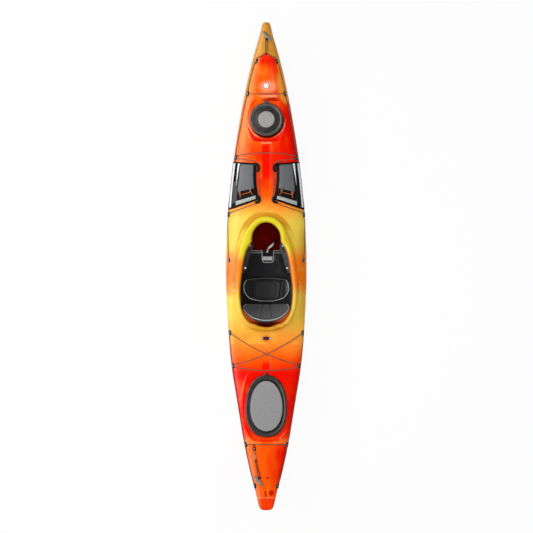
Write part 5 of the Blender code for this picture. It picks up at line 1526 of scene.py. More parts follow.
for side_name, side in SIDES:
    rings = []
    for v in shares(0.0, 1.0, 72):
        under = [(*bag_xy(u, v), bag_seat(u)) for u in shares(1.0, 0.0, 24)]
        rings.append([bag_surface(side, u, v) for u in shares(0.0, 1.0, 48)]
                     + [deck_point(side * x, y, up) for x, y, up in under])
    parts = [loft("bag_shell_" + side_name, rings, BAG_CLOTH, smooth_angle=60.0)]
    for part, across, along_bag, lift, finish in (
            ("panel", ((0.3, -0.04), (0.86, 0.05), 30), (0.035, 0.665, 44), 0.0007, BAG_PANEL),
            ("outer_band", ((0.015, 0.0), (0.095, -0.02), 6), (0.02, 0.97, 60), 0.0008, SILVER),
            ("side", ((0.125, -0.02), (0.285, -0.05), 8), (0.42, 0.9, 30), 0.0006,
             BAG_SIDE if side < 0 else BAG_SIDE_SHADED),
            ("inner_band", ((0.19, 0.02), (0.27, -0.13), 5), (0.02, 0.52, 36), 0.0009, SILVER),
            ("rear_strip", ((0.22, 0.0), (0.91, 0.0), 34), (0.872, 0.96, 8), 0.001, GREY_TAPE)):
        parts.append(patchwork("bag_%s_%s" % (part, side_name), side, across, along_bag, lift,
                               finish))
    hem = [(u, 0.0) for u in shares(0.0, 1.0, 20)] + [(1.0, v) for v in shares(0.03, 1.0, 30)]
    hem += [(u, 1.0) for u in shares(0.96, 0.0, 24)] + [(0.0, v) for v in shares(0.97, 0.0, 34)]
    parts.append(tube("bag_hem_" + side_name,
                      [bag_surface(side, u, v, -HEM_DROP) for u, v in hem], 0.004, BINDING, 10))
    for k, route in enumerate(BAG_HOOKS):
        path = flowing([deck_point(side * x, y, up) for x, y, up in route], 6)
        radii = [0.0105 * (1.0 - abs(2 * t - 1) ** 6 * 0.6) for t in shares(0, 1, len(path) - 1)]
        parts.append(turned("bag_hook_%d_%s" % (k, side_name), path, radii, 16, BINDING, 0.5))
    fit(joined("deck_bag_cover_" + side_name, parts), "hull", "bag_fabric",
        "deck_bag_" + side_name)

    locks = []
    for k, ends in enumerate(CORD_LOCKS):
        a, b = (bag_surface(side, *bag_uv(*end), LOCK_LIFT) for end in ends)
        spine = [a + (b - a) * t for t in (0.0, 0.06, 0.3, 0.42, 0.58, 0.7, 0.94, 1.0)]
        locks.append(turned("bag_lock_%d_%s" % (k, side_name), spine, LOCK_RADII, 16, LOCK, 0.62))
        spine = [a + (b - a) * t + UP * LOOP_LIFT for t in (0.05, 0.28, 0.5, 0.72, 0.95)]
        locks.append(tube("bag_loop_%d_%s" % (k, side_name), spine, 0.003, ORANGE_CORD, 8))
    locks = fit(joined("bag_locks_" + side_name, locks), "hull", "black_nylon")
    path = [bag_surface(side, *bag_uv(x, y), TIE_LIFT) for x, y in LOCK_CORD]
    cord_curve("bag_tie_" + side_name, flowing(path, 4), TIE_R, ORANGE_CORD,
               "bag_cord_" + side_name, slot="cord_orange")

# Carrying handles

GRIP_RADII = (0.007, 0.009, 0.0108, 0.012, 0.0122, 0.012, 0.0108, 0.009, 0.007)


def lay_grip(a, b, radii, spare):
    """Points along a straight grip that just clears the deck."""
    steps = shares(0.0, 1.0, len(radii) - 1)
    ends = [deck_z(*p) + r + spare for p, r in ((a, radii[0]), (b, radii[-1]))]
    pts = [Vector((*mixed(a, b, t), ends[0] + (ends[1] - ends[0]) * t)) for t in steps]
    rise = max(0.0, *(deck_z(p.x, p.y) + r + spare - p.z for p, r in zip(pts, radii)))
    for p in pts:
        p.z += rise
    return pts


def carrying_handle(label, a, b, knot_at, strands):
    """Moulded grip with finger ribs, and the knotted cord that it hangs on."""
    path = lay_grip(a, b, GRIP_RADII, 0.0012)
    centre = path[len(path) // 2]
    fine = flowing(path, 8)
    radii = []
    for t in shares(0.0, 1.0, len(fine) - 1):
        ends = 1.0 - abs(2.0 * t - 1.0) ** 9
        rib = 0.00045 * math.cos(2 * math.pi * t * 11)
        radii.append((0.007 + 0.005 * math.sin(math.pi * t) ** 0.8) * max(0.35, ends) + rib)
    grip = turned(label + "_toggle", fine, radii, 24, GRIP)
    fit(grip, label, "grey_plastic", label + "_grip")
    knot = Vector((*knot_at, centre.z - 0.001))
    inward = (centre - knot).normalized()
    stem = [knot + inward * s for s in (-0.012, -0.009, -0.004, 0.0, 0.004, 0.007, 0.009)]
    knotted = turned(label + "_knot", stem + [centre],
                     (0.004, 0.0086, 0.0108, 0.0098, 0.011, 0.0082, 0.0046, 0.004), 16, DARK_CORD)
    fit(knotted, label, "cord_black")
    cord_curve(label + "_lanyard", flowing(strands(knot - inward * 0.004), 6), LINE_R, DARK_CORD,
               label + "_cord", label)


def bow_strands(foot):
    """Cord doubled round the apex of the perimeter line."""
    lift = LINE_LIFT + 2 * LINE_R + 0.0006
    legs = []
    for side in (-1, 1):
        leg = []
        for t in (0.0, 0.12, 0.4, 0.7, 0.92):
            y = foot.y + (APEX_Y - foot.y) * t
            p = deck_point(side * 0.0056, y, lift)
            p.x += foot.x * (1 - t)
            if t < 0.33:
                p.z = max(p.z, foot.z * (1 - t * 3) + p.z * t * 3)
            leg.append(p)
        legs.append(leg)
    tip = [deck_point(x, APEX_Y - dy, lift)
           for x, dy in ((-0.0048, 0.004), (0.0, 0.0072), (0.0048, 0.004))]
    return legs[0] + tip + legs[1][::-1]


STERN_EYE = (-0.0917, STERN_HATCH_REAR - 0.0938)
STERN_EYE_PLACE = deck_frame(*STERN_EYE, math.radians(5.0))
# Knot between the stern handle's lead and its doubled cord
STERN_KNOT = (-0.0829, -1.555)
STERN_CORD_LIFT = LINE_LIFT + 0.002


def stern_strands(foot):
    """Doubled cord from the knot at the grip to the one at the end of the lead."""
    knot = deck_point(*STERN_KNOT, STERN_CORD_LIFT + 0.003)
    runs = []
    for side in (-1, 1):
        strand = [knot + Vector((side * 0.004, -0.001, 0.0))]
        for t in (0.15, 0.4, 0.65, 0.85):
            x, y = mixed(STERN_KNOT, foot, t)
            strand.append(deck_point(x + side * (0.0036 + 0.005 * t), y,
                                     STERN_CORD_LIFT + 0.002 * t))
        strand.append(foot + Vector((side * 0.005, 0.0, 0.0)))
        runs.append(strand)
    return runs[0][::-1] + [knot + Vector((0.0, 0.0045, 0.0))] + runs[1]


def stern_lead():
    """Cord from the eye to the knot, laid up from a grey and a black strand."""
    spine = [STERN_EYE_PLACE @ Vector((0.0, -y, 0.005)) for y in (0.015, 0.028)]
    spine += over_deck(spine[-1], STERN_KNOT, STERN_CORD_LIFT + 0.0005, 0.03)
    spine.append(deck_point(*STERN_KNOT, STERN_CORD_LIFT + 0.002))
    spine = flowing(spine, 10)
    parts = []
    for k, finish in enumerate((PALE_CORD, DARK_CORD)):
        path = []
        for i, p in enumerate(spine):
            turn = 2 * math.pi * i / 17.0 + math.pi * k
            swell = 0.0024 * ramp(0, 6, i)
            path.append(p + Vector((math.cos(turn), 0.0, 0.6 * math.sin(turn))) * swell)
        parts.append(tube("stern_lead_%d" % k, path, 0.0026, finish, 10))
    for k, (share, finish) in enumerate(((0.62, PALE_CORD), (0.97, DARK_CORD))):
        at = spine[int(share * (len(spine) - 1))]
        stem = [at + Vector((0.0, dy, 0.0)) for dy in (0.011, 0.008, 0.003, -0.003, -0.008, -0.011)]
        parts.append(turned("stern_lead_knot_%d" % k, stem,
                            (0.003, 0.006, 0.0072, 0.007, 0.0058, 0.003), 14, finish))
    return fit(joined("stern_handle_lead", parts), "stern_handle", "cord_black")


carrying_handle("bow_handle", (-0.0319, 1.867), (0.0478, 1.793), (0.0025, 1.806), bow_strands)
stern_lead()
carrying_handle("stern_handle", (-0.098, -1.669), (-0.0295, -1.748), (-0.056, -1.685),
                stern_strands)
deck_eye("stern_handle_eye", STERN_EYE_PLACE, STERN_EYE_SIZE,
         [((0.0, -0.03, 0.005), (0.0, -0.003, 0.005), LINE_BORE_R)], (0.0, 0.004, 0.0101), 0.0036)

# Fitting behind the cockpit

REAR_FITTING_Y = -0.5747
rear_place = deck_frame(0.0, REAR_FITTING_Y, math.radians(90.0), 0.0014)
rear_bar = pierced("rear_bar", rear_place, 0.04, 0.0105, 0.0115, [], NYLON)
cut(rear_bar, [prism("slot_%d" % k, oval(k * 0.012, REAR_FITTING_Y, 0.0068, 0.0046, 4.0, 24),
                     deck_z(0, REAR_FITTING_Y) + 0.004, 0.4, NYLON) for k in (-1, 1)])
heads = [screw("rear_screw_%d" % k, rear_place @ Vector((0.0, k * 0.031, 0.0116)), UP, 0.0068,
               WHITE) for k in (-1, 1)]
fit(joined("rear_deck_cleat", [rear_bar] + heads), "hull", "black_nylon", "rear_deck_fitting")

# Bare white disc on the foredeck, and the screws that hold the seat's side hangers


def deck_disc(name, profile):
    """Round trim on the deck from (radius, height) steps, open in the middle if a ring."""
    rings = []
    for r, up in profile:
        places = [(r * c, DISC_Y + r * s) for c, s in circle(48)]
        rings.append([(x, y, deck_z(x, y) + relief(x, y) + up) for x, y in places])
    return loft(name, rings, WHITE, closed=profile[0] == profile[-1])


disc = deck_disc("disc_face", ((0.0215, -0.002), (0.0215, 0.0005), (0.0208, 0.0011),
                               (0.015, 0.0012), (0.008, 0.0012), (0.001, 0.0012)))
ring = deck_disc("disc_ring", ((0.0286, -0.002), (0.0286, 0.0006), (0.029, 0.0009),
                               (0.03, 0.0009), (0.0304, 0.0006), (0.0304, -0.002),
                               (0.0286, -0.002)))
fit(joined("foredeck_disc", [disc, ring]), "hull", "grey_plastic")
HANGER_SCREWS = ((0.256, -0.1435, 0.006), (0.256, -0.1937, 0.006), (0.239, 0.003, 0.0042))
heads = [screw("hanger_screw_%d_%s" % (k, side_name),
               deck_point(side * x, y, relief(side * x, y) + 0.0002),
               deck_normal(side * x, y), r)
         for side_name, side in SIDES for k, (x, y, r) in enumerate(HANGER_SCREWS)]
fit(joined("hanger_screws", heads), "hull", "grey_plastic")

# Seat

SEAT_HALF_WIDTH = 0.196
SEAT_CORNER = 0.04
SEAT_T = 0.005
# Sides of the tubes that make up welts and seams
STITCH_SIDES = 8
# Station and height of the seat's floor
SEAT_FLOOR = ((-0.43, 0.034), (-0.395, 0.03), (-0.07, 0.03), (-0.05, 0.031),
              (0.01, 0.044), (0.13, 0.07))


def seat_floor(y):
    """Height of the seat's floor, straight between its stations."""
    k = 0
    while k < len(SEAT_FLOOR) - 2 and SEAT_FLOOR[k + 1][0] < y:
        k += 1
    (y0, z0), (y1, z1) = SEAT_FLOOR[k:k + 2]
    return z0 + (z1 - z0) * ((y - y0) / (y1 - y0)) + SEAT_T


def seat_width(y):
    return SEAT_HALF_WIDTH - 0.04 * max(0.0, (y + 0.05) / 0.18)


def stuffed(name, us, vs, top, under, finish, skip=None):
    """Closed pad between a top and an underside, each a function of u and v."""
    nu = len(us)
    points = [surface(u, v) for surface in (top, under) for v in vs for u in us]
    base = nu * len(vs)
    kept = {(i, j) for j in range(len(vs) - 1) for i in range(nu - 1)
            if not skip or not skip((us[i] + us[i + 1]) / 2, (vs[j] + vs[j + 1]) / 2)}
    faces = []
    for i, j in sorted(kept):
        a = j * nu + i
        b, c, d = a + 1, a + nu + 1, a + nu
        faces += [(a, b, c, d), (base + d, base + c, base + b, base + a)]
        for there, p, q in (((i, j - 1), b, a), ((i, j + 1), d, c), ((i - 1, j), a, d),
                            ((i + 1, j), c, b)):
            if there not in kept:
                faces.append((p, q, base + q, base + p))
    used = sorted({k for f in faces for k in f})
    new = {k: n for n, k in enumerate(used)}
    return piece(name, [points[k] for k in used], [tuple(new[k] for k in f) for f in faces],
                 finish, 70.0)


def wrinkle(x, y, scale, height):
    return noise.noise(Vector((x * scale, y * scale, 4.2))) * height


def raised(path, up):
    """A path moved up or down."""
    return [p + UP * up for p in path]


def padded_cover(name, parts, body, node):
    made = fit(joined(name, parts), body, "seat_fabric", node)


CUSHION_HALF_WIDTH = SEAT_HALF_WIDTH - 0.013
# Station and how far the side stands in from the widest place
CUSHION_SIDE = ((-0.29, 0.113), (-0.275, 0.079), (-0.255, 0.048), (-0.23, 0.023),
                (-0.2, 0.006), (-0.171, 0.0), (-0.15, 0.003), (-0.13, 0.01),
                (-0.11, 0.024), (-0.095, 0.04), (-0.084, 0.052))
CUSHION_TOP_Z = 0.0473
CUSHION_UNDER_Z = 0.0356
CUSHION_FRONT = -0.095
CUSHION_REAR = -0.279


def cushion_point(u, v, inset, z_of):
    front = CUSHION_FRONT - 0.016 * u * u - inset
    rear = CUSHION_REAR + 0.022 * u ** 4 + inset
    y = front + (rear - front) * v
    x = u * (CUSHION_HALF_WIDTH - curve_value(CUSHION_SIDE, y) - inset)
    return Vector((x, y, z_of(u, v, x, y)))


def dart_x(v):
    """Distance of the side darts from the centreline, front to rear."""
    return 0.131 - 0.029 * v ** 0.8


def corner_rise(x):
    return max(0.0, abs(x) - (SEAT_HALF_WIDTH - SEAT_CORNER)) * 1.05


def pad_edge(u, v, sharpness):
    """Fullness of a pad: 0 along its border, 1 well inside it."""
    return min(1.0, sharpness * min(v, 1 - v, 0.5 * (1 - abs(u))))


def mesh_reach(x, v):
    """Below one on the middle panel of the cushion."""
    return ((abs(x) / 0.086) ** 4 + (abs(v - 0.5) / 0.36) ** 4) ** 0.25


def cushion_top(u, v, x, y):
    edge = pad_edge(u, v, 6.0)
    inside = ease(0.0, 0.06, min(v, 1 - v))
    dart = 0.01 * math.exp(-(((abs(x) - dart_x(v)) / 0.0042) ** 2)) * inside
    panel = 0.003 * math.exp(-(((mesh_reach(x, v) - 1.0) / 0.06) ** 2))
    dish = 0.016 * (abs(x) / 0.18) ** 2
    swell = 0.003 * math.cos(0.5 * math.pi * u) * math.sin(math.pi * v)
    return (CUSHION_TOP_Z + corner_rise(x) * 0.6 + dish + 0.018 * edge ** 0.5 - dart - panel + swell
            + wrinkle(x, y, 34.0, 0.0012) * edge)


def cushion_under(u, v, x, y):
    return CUSHION_UNDER_Z + corner_rise(x)


cushion = stuffed(
    "seat_cushion_pad", shares(-1.0, 1.0, 132), shares(0.0, 1.0, 64),
    lambda u, v: cushion_point(u, v, 0.0, cushion_top),
    lambda u, v: cushion_point(u, v, 0.005, cushion_under), SEAT_CLOTH)
cushion.data.materials.append(SEAT_MESH.material)
for face in cushion.data.polygons:
    at = face.center
    share = (CUSHION_FRONT - at.y) / (CUSHION_FRONT - CUSHION_REAR)
    if face.normal.z > 0.5 and mesh_reach(at.x, share) < 0.94:
        face.material_index = 1
border = [(u, 0.0) for u in shares(-1.0, 1.0, 30)] + [(1.0, v) for v in shares(0.04, 1.0, 20)]
border += [(u, 1.0) for u in shares(0.94, -1.0, 30)] + [(-1.0, v) for v in shares(0.96, 0.0, 20)]
welt = raised([cushion_point(u, v, -0.0005, cushion_top) for u, v in border], -0.001)
parts = [cushion, tube("cushion_welt", welt[30:], 0.0034, PIPING, STITCH_SIDES),
         tube("cushion_front_welt", welt[:32], 0.0033, FRONT_PIPING_SHADED, STITCH_SIDES)]


def on_cushion(x, v):
    """Place on top of the cushion at a distance from the centreline."""
    u = x / CUSHION_HALF_WIDTH
    for _ in range(4):
        u *= x / cushion_point(u, v, 0.0, cushion_top).x
    return cushion_point(u, v, 0.0, cushion_top)


for k in (-1, 1):
    seam = raised([on_cushion(k * dart_x(v), v) for v in shares(0.03, 0.97, 24)], 0.001)
    parts.append(tube("cushion_seam_%d" % k, seam, 0.0032, THREAD, STITCH_SIDES))
padded_cover("seat_cushion_cover", parts, "hull", "seat_cushion")

LIFTER_REAR = -0.0785
LIFTER_FRONT = 0.127
LIFTER_HALF_WIDTH = SEAT_HALF_WIDTH - 0.028
LIFTER_TAPER = 0.036
NOTCH_LEFT = -0.034
NOTCH_RIGHT = 0.059
NOTCH_SHARE = 0.31
NOTCH_V = 0.545


def lifter_point(u, v, inset, top):
    y = LIFTER_REAR + inset + (LIFTER_FRONT - LIFTER_REAR - 2 * inset) * v
    w = LIFTER_HALF_WIDTH - LIFTER_TAPER * v - inset
    left = NOTCH_LEFT - inset
    right = NOTCH_RIGHT + inset
    if abs(u) <= NOTCH_SHARE:
        x = left + (right - left) * (u / NOTCH_SHARE + 1.0) / 2.0
    else:
        past = (abs(u) - NOTCH_SHARE) / (1 - NOTCH_SHARE)
        x = right + past * (w - right) if u > 0 else left - past * (w + left)
    floor = seat_floor(y)
    corner = max(0.0, abs(x) - (seat_width(y) - 0.041)) * 1.1
    if not top:
        return Vector((x, y, floor + 0.0008 + corner))
    edge = pad_edge(u, v, 7.0)
    if v > NOTCH_V - 0.06 and abs(u) < 0.5:
        gap = max((abs(u) - NOTCH_SHARE) * 0.5, notch_edge(u) - v)
        edge = min(edge, max(0.1, gap * 12.0))
    return Vector((x, y, floor + 0.012 + corner * 0.5 + 0.015 * edge ** 0.5
                   + wrinkle(x, y, 26.0, 0.0014) * edge))


def notch_edge(u):
    """Rear edge of the notch, with its corners rounded."""
    near = clamp((abs(u) / NOTCH_SHARE - 0.55) / 0.45)
    return NOTCH_V + 0.11 * (1.0 - math.sqrt(1.0 - near * near))


def in_notch(u, v):
    return abs(u) < NOTCH_SHARE and v > notch_edge(u)


lifter_us = (shares(-1.0, -NOTCH_SHARE, 30)[:-1] + shares(-NOTCH_SHARE, NOTCH_SHARE, 24)[:-1]
             + shares(NOTCH_SHARE, 1.0, 30))
lifter_vs = shares(0.0, NOTCH_V, 28)[:-1] + shares(NOTCH_V, 1.0, 24)
lifter = stuffed(
    "leg_lifter_pad", lifter_us, lifter_vs,
    lambda u, v: lifter_point(u, v, 0.0, True),
    lambda u, v: lifter_point(u, v, 0.004, False), SEAT_CLOTH, in_notch)
front = [(u, 1.0) for u in shares(-0.98, -NOTCH_SHARE, 14)]
front += [(-NOTCH_SHARE, v) for v in shares(0.97, NOTCH_V + 0.12, 8)]
front += [(u, notch_edge(u)) for u in shares(-NOTCH_SHARE, NOTCH_SHARE, 28)]
front += [(NOTCH_SHARE, v) for v in shares(NOTCH_V + 0.12, 0.97, 8)]
front += [(u, 1.0) for u in shares(NOTCH_SHARE, 0.98, 14)]
welt = raised([lifter_point(u, v, -0.0004, True) for u, v in front], -0.0006)
parts = [tube("lifter_welt", welt, 0.0033, PIPING, STITCH_SIDES)]
for k in (-1, 1):
    seam = [lifter_point(k * u, 0.92, 0.0, True) for u in shares(NOTCH_SHARE + 0.05, 0.97, 14)]
    parts.append(tube("lifter_seam_%d" % k, raised(seam, 0.0004), 0.0019, PIPING, STITCH_SIDES))
rings = []
for y in shares(0.05, 0.081, 8):
    ring = [Vector((x, y, seat_floor(y) + 0.0125)) for x in shares(-0.029, 0.049, 12)]
    rings.append(ring + raised(ring[::-1], -0.004))
padded_cover("leg_lifter_cover", [lifter, loft("lifter_patch", rings, PATCH)] + parts,
             "leg_lifter", "leg_lifter")

# Buckle and free strap end of the leg lifter

BUCKLE_Z = seat_floor(0.129) + 0.0008
BUCKLE_X = 0.0105
BUCKLE_Y = 0.12
BUCKLE_HALF_LENGTH = 0.016
BUCKLE_HALF_WIDTH = 0.0092


def buckle_outline(inset):
    """Outline of the buckle, shrunk towards its middle."""
    across = inset / BUCKLE_HALF_LENGTH
    along_boat = inset / BUCKLE_HALF_WIDTH
    return [(x * (1 - across) + BUCKLE_X * across, y * (1 - along_boat) + BUCKLE_Y * along_boat)
            for x, y in oval(BUCKLE_X, BUCKLE_Y, BUCKLE_HALF_LENGTH, BUCKLE_HALF_WIDTH, 4.5, 40)]


buckle = loft("buckle_body", stacked(buckle_outline, (
    (0.0, 0.0), (0.0, 0.0055), (0.0008, 0.007), (0.0022, 0.0076)), BUCKLE_Z), SEAT_PLASTIC)
cut(buckle, [prism("buckle_slot_%d" % k,
                   oval(BUCKLE_X, 0.1158 + 0.007 * k, 0.0112, 0.0016, 4.0, 20),
                   BUCKLE_Z - 0.01, BUCKLE_Z + 0.02, SEAT_PLASTIC) for k in (0, 1)])
fit(buckle, "leg_lifter", "black_nylon", "lifter_buckle")
STRAP = ((0.0085, 0.113, 0.002), (0.009, 0.123, 0.0045), (0.012, 0.137, 0.011),
         (0.022, 0.151, 0.0175), (0.038, 0.164, 0.0205), (0.052, 0.179, 0.02),
         (0.063, 0.194, 0.017), (0.076, 0.207, 0.011), (0.09, 0.219, 0.005))
# Share of the strap from which its dark end begins
STRAP_DARK = 0.72
STRAP_HALF_WIDTH = 0.0088
STRAP_T = 0.0008
STRAP_UP = 0.0082
STRAP_TWIST = 1.05
path = flowing([Vector((x, y, BUCKLE_Z + STRAP_UP + up)) for x, y, up in STRAP], 8)
last = len(path) - 1
rings = []
for i, (p, run) in enumerate(zip(path, directions(path))):
    run.normalize()
    across = UP.cross(run).normalized()
    rise = run.cross(across)
    twist = STRAP_TWIST * math.sin(2.0 * math.pi * i / last) ** 2
    half_width = STRAP_HALF_WIDTH * (1.0 - 0.35 * ramp(last - 3, last, i))
    rings.append(ribbon(p, (across * math.cos(twist) + rise * math.sin(twist)) * half_width,
                        (rise * math.cos(twist) - across * math.sin(twist)) * STRAP_T))
strap = loft("lifter_strap_end", rings, WEBBING)
strap.data.materials.append(BINDING.material)
for k, face in enumerate(strap.data.polygons):
    if k > STRAP_DARK * len(strap.data.polygons):
        face.material_index = 1
fit(strap, "leg_lifter", "webbing_grey", "lifter_strap")

# Backrest

BACK_FOOT_Y = -0.298
BACK_FOOT_Z = 0.104
BACK_HALF_WIDTH = SEAT_HALF_WIDTH - 0.016
# Share of the height and how far the side stands in from the widest place
BACK_SIDE = ((0.0, 0.02), (0.12, 0.008), (0.3, 0.0), (0.55, 0.0), (0.75, 0.01),
             (0.88, 0.028), (0.96, 0.052), (1.0, 0.072))
BACK_SEAM_U = 0.3


def back_point(u, v, depth, shrink=0.0):
    w = BACK_HALF_WIDTH - curve_value(BACK_SIDE, v) - shrink
    seam = (0.027 + 0.022 * v) / w
    a = abs(u)
    if a <= BACK_SEAM_U:
        s = a / BACK_SEAM_U * seam
    else:
        s = seam + (a - BACK_SEAM_U) / (1.0 - BACK_SEAM_U) * (1 - seam)
    x = math.copysign(s * w, u) if u else 0.0
    run = 0.128 - 0.062 * (x / BACK_HALF_WIDTH) ** 2
    return Vector((x, BACK_FOOT_Y - v * run - depth * 0.83, BACK_FOOT_Z + 0.186 * v - depth * 0.56))


def back_front(u, v):
    edge = pad_edge(u, v, 6.0)
    seam = 0.011 * math.exp(-(((abs(u) - BACK_SEAM_U) / 0.024) ** 2))
    seam *= ease(0.0, 0.06, min(v, 1 - v))
    swell = 0.0024 * math.cos(0.5 * math.pi * u) * math.sin(math.pi * v)
    p = back_point(u, v, 0.009 * (1 - edge ** 0.5) + seam - swell)
    return p + Vector((0.0, 0.0, wrinkle(p.x, p.z, 30.0, 0.001) * edge))


back = stuffed(
    "backrest_pad_body", shares(-1.0, 1.0, 100), shares(0.0, 1.0, 60), back_front,
    lambda u, v: back_point(u, v, 0.024, 0.003), BACK_CLOTH)
edge_line = [(-1.0, v) for v in shares(0.02, 1.0, 30)] + [(u, 1.0) for u in shares(-0.96, 1.0, 40)]
edge_line += [(1.0, v) for v in shares(0.98, 0.02, 30)]
welt = [back_point(u, v, 0.006, -0.0022) for u, v in edge_line]
foot = [back_point(u, 0.0, 0.0085, -0.0006) for u in shares(-1.0, 1.0, 40)]
parts = [back, tube("back_welt", welt, 0.0042, BACK_PIPING, STITCH_SIDES),
         tube("back_foot_binding", foot, 0.0028, THREAD, STITCH_SIDES)]
for k in (-1, 1):
    seam = [back_front(k * BACK_SEAM_U, v) + Vector((0.0, 0.0008, 0.0012))
            for v in shares(0.02, 0.98, 30)]
    parts.append(tube("back_seam_%d" % k, seam, 0.003, THREAD, STITCH_SIDES))
padded_cover("backrest_cover", parts, "backrest", "backrest_pad")

LOOP = ((-0.047, 0.0), (-0.047, 0.016), (-0.045, 0.026), (-0.038, 0.03), (-0.02, 0.0315),
        (0.0, 0.032), (0.02, 0.0315), (0.038, 0.03), (0.045, 0.026), (0.047, 0.016),
        (0.047, 0.0))
LOOP_Y = -0.4386
LOOP_Z = 0.243
# Share of the loop's depth that the backrest leaves behind it
LOOP_SHARE = 0.45
path = flowing([Vector((x, LOOP_Y - back * LOOP_SHARE, LOOP_Z)) for x, back in LOOP], 5)
rings = [ribbon(p, run.normalized().cross(UP) * 0.0011, UP * 0.011)
         for p, run in zip(path, directions(path))]
fit(loft("backrest_webbing_loop", rings, SEAT_PLASTIC), "backrest", "webbing_grey",
    "backrest_loop")

# Screws of the thigh braces

BRACE_SCREWS = ((0.132, 0.166), (0.167, -0.012))
BRACE_SCREW_R = 0.0076
BRACE_SCREW_DROP = 0.027
for side_name, side in SIDES:
    heads = [screw("brace_screw_%d_%s" % (k, side_name),
                   Vector((side * x, y, coaming_z(y) - BRACE_SCREW_DROP)), UP,
                   BRACE_SCREW_R, WHITE)
             for k, (x, y) in enumerate(BRACE_SCREWS)]
    fit(joined("brace_screws_" + side_name, heads), "thigh_brace_" + side_name, "black_nylon")

# Carried-over CAD nodes

PAN = Finish("seat_pan_plastic", 0.45, Base_Color=linear(30, 30, 31))
x, y, _ = PAN.axes(PAN.place)
tone = PAN.mix(PAN.noise(30.0, 3.0), linear(24, 24, 25), linear(40, 40, 42))
# The tail's colour starts along the backrest's curved rear edge
bowed = PAN.math("ADD", y, PAN.math(
    "SUBTRACT", 0.075, PAN.math("MULTIPLY", PAN.math("MULTIPLY", x, x), 1.9)))
PAN.paint(PAN.spread(bowed, TAIL_Y + 0.004, TAIL_Y - 0.004), tone, RUST).grained(
    600.0, 0.0003, 0.5)
# The seat pan's tail takes the painted glow as well
painted_glow(PAN, 0.26, bowed)
KEPT_LOOKS = {
    "seat_pan": PAN, "backrest_frame": SEAT_PLASTIC,
    "thigh_brace_port": BRACE, "thigh_brace_starboard": BRACE,
    "bow_bulkhead": BULKHEAD, "stern_bulkhead": BULKHEAD,
    "foot_rail_port": RAIL, "foot_rail_starboard": RAIL,
    "foot_pedal_port": NYLON, "foot_pedal_starboard": NYLON,
}
for name, finish in KEPT_LOOKS.items():
    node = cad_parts[name]
    node.data.materials.clear()
    node.data.materials.append(finish.material)
    soften = node.modifiers.new("soften", "BEVEL")
    soften.width = 0.0008
    soften.segments = 2
    soften.limit_method = "ANGLE"
    soften.angle_limit = math.radians(40.0)

# Studio floor


def emptied(owner):
    owner.use_nodes = True
    owner.node_tree.nodes.clear()
    return Nodes(owner.node_tree)


def seen_share(nodes, *kinds):
    """1 for the kinds of ray named, 0 for the others."""
    rays = nodes.node("LightPath").outputs
    share = rays[kinds[0]]
    for kind in kinds[1:]:
        share = nodes.math("MAXIMUM", share, rays[kind])
    return share


def mix_shaders(nodes, share, a, b):
    return nodes.node("MixShader", {0: share, 1: a, 2: b}).outputs[0]


FLOOR_HALF = 30.0
FLOOR_GLOW = 0.93
PURE_WHITE = (1.0, 1.0, 1.0, 1.0)
floor_mesh = bpy.data.meshes.new("studio_floor")
floor_mesh.from_pydata([(x * FLOOR_HALF, y * FLOOR_HALF, -0.0005) for x, y in CORNERS],
                       [], [(0, 1, 2, 3)])
placed("studio_floor", floor_mesh)
floor_look = bpy.data.materials.new("studio_floor")
nodes = emptied(floor_look)
matt = nodes.node("BsdfDiffuse", {"Color": (0.9, 0.9, 0.9, 1.0)}).outputs[0]
glow = nodes.node("Emission", {"Color": PURE_WHITE, "Strength": 1.0}).outputs[0]
share = nodes.math("MULTIPLY", seen_share(nodes, "Is Camera Ray", "Is Glossy Ray"), FLOOR_GLOW)
nodes.node("OutputMaterial", {"Surface": mix_shaders(nodes, share, matt, glow)})
floor_mesh.materials.append(floor_look)

# World and lamps: gloss sees a sky that is dark overhead and bright to port and low down

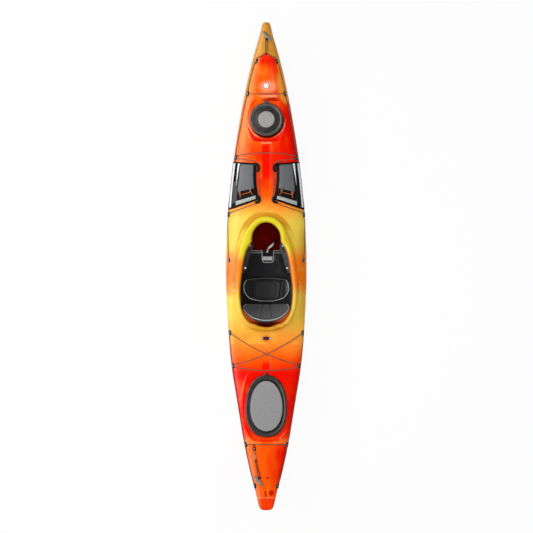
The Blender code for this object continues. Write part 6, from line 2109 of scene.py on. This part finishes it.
world = bpy.data.worlds.new("studio")
bpy.context.scene.world = world
nodes = emptied(world)
soft = nodes.node("Background", {"Color": (0.95, 0.97, 1.0, 1.0), "Strength": 0.1}).outputs[0]
white = nodes.node("Background", {"Color": PURE_WHITE, "Strength": 1.0}).outputs[0]
x, _, z = nodes.axes(nodes.node("TexCoord").outputs["Generated"])
bright = nodes.math("MAXIMUM", nodes.spread(x, -0.66, -0.24, 2.6, 0.0),
                    nodes.spread(z, 0.05, 0.45, 0.3, 0.0))
sky = nodes.node("Background", {"Strength": bright}).outputs[0]
lit = mix_shaders(nodes, seen_share(nodes, "Is Glossy Ray"), soft, sky)
lit = mix_shaders(nodes, seen_share(nodes, "Is Camera Ray"), lit, white)
nodes.node("OutputWorld", {"Surface": lit})


def softbox(name, place, aim, width, length, radiance):
    """Area lamp of a given brightness, long side along the boat."""
    data = bpy.data.lights.new(name, "AREA")
    data.shape = "RECTANGLE"
    data.size = width
    data.size_y = length
    data.energy = radiance * math.pi * width * length
    made = placed(name, data)
    back = (Vector(place) - Vector(aim)).normalized()
    side = Vector((0, 1, 0)).cross(back).normalized()
    made.matrix_world = Matrix((side, back.cross(side), back)).transposed().to_4x4()
    made.location = place
    return made


softbox("key", (-3.0, 0.3, 2.7), (0.0, 0.0, 0.3), 1.7, 6.0, 3.9)
fill = softbox("fill", (3.2, -0.4, 3.0), (0.0, 0.0, 0.3), 0.9, 6.0, 2.4)
# Overhead light that reaches into the cockpit, and light along the boat from the bow
top = softbox("top", (0.0, -0.3, 5.5), (0.0, 0.0, 0.3), 3.6, 6.0, 2.55)
ahead = softbox("ahead", (-0.8, 4.6, 3.4), (0.0, 0.6, 0.3), 1.6, 1.2, 2.4)
for lamp in (fill, top, ahead):
    lamp.visible_glossy = False
    lamp.data.cycles.use_multiple_importance_sampling = False
# Small lamp that is only seen as the glint beside the foredeck disc
glint = softbox("glint", (0.275, 1.497, 1.25), (0.06, 1.45, 0.33), 0.1, 0.05, 26.0)
glint.visible_diffuse = False
glint.visible_camera = False

# Camera, straight above

LENS = 135.0
SENSOR = 36.0
METRES_PER_PIXEL = 0.00797
IMAGE = 533
CENTRE_PX = (266.3, 266.5)
SEEN_Z = 0.33
seen_width = METRES_PER_PIXEL * IMAGE
camera_data = bpy.data.cameras.new("camera")
camera_data.lens = LENS
camera_data.sensor_width = SENSOR
camera = placed("camera", camera_data)
camera.location = (
    (IMAGE / 2 - CENTRE_PX[0]) * METRES_PER_PIXEL,
    (CENTRE_PX[1] - IMAGE / 2) * METRES_PER_PIXEL,
    SEEN_Z + seen_width * LENS / SENSOR,
)
camera_data.clip_end = 100.0
bpy.context.scene.camera = camera

bpy.context.scene.view_settings.view_transform = "Standard"
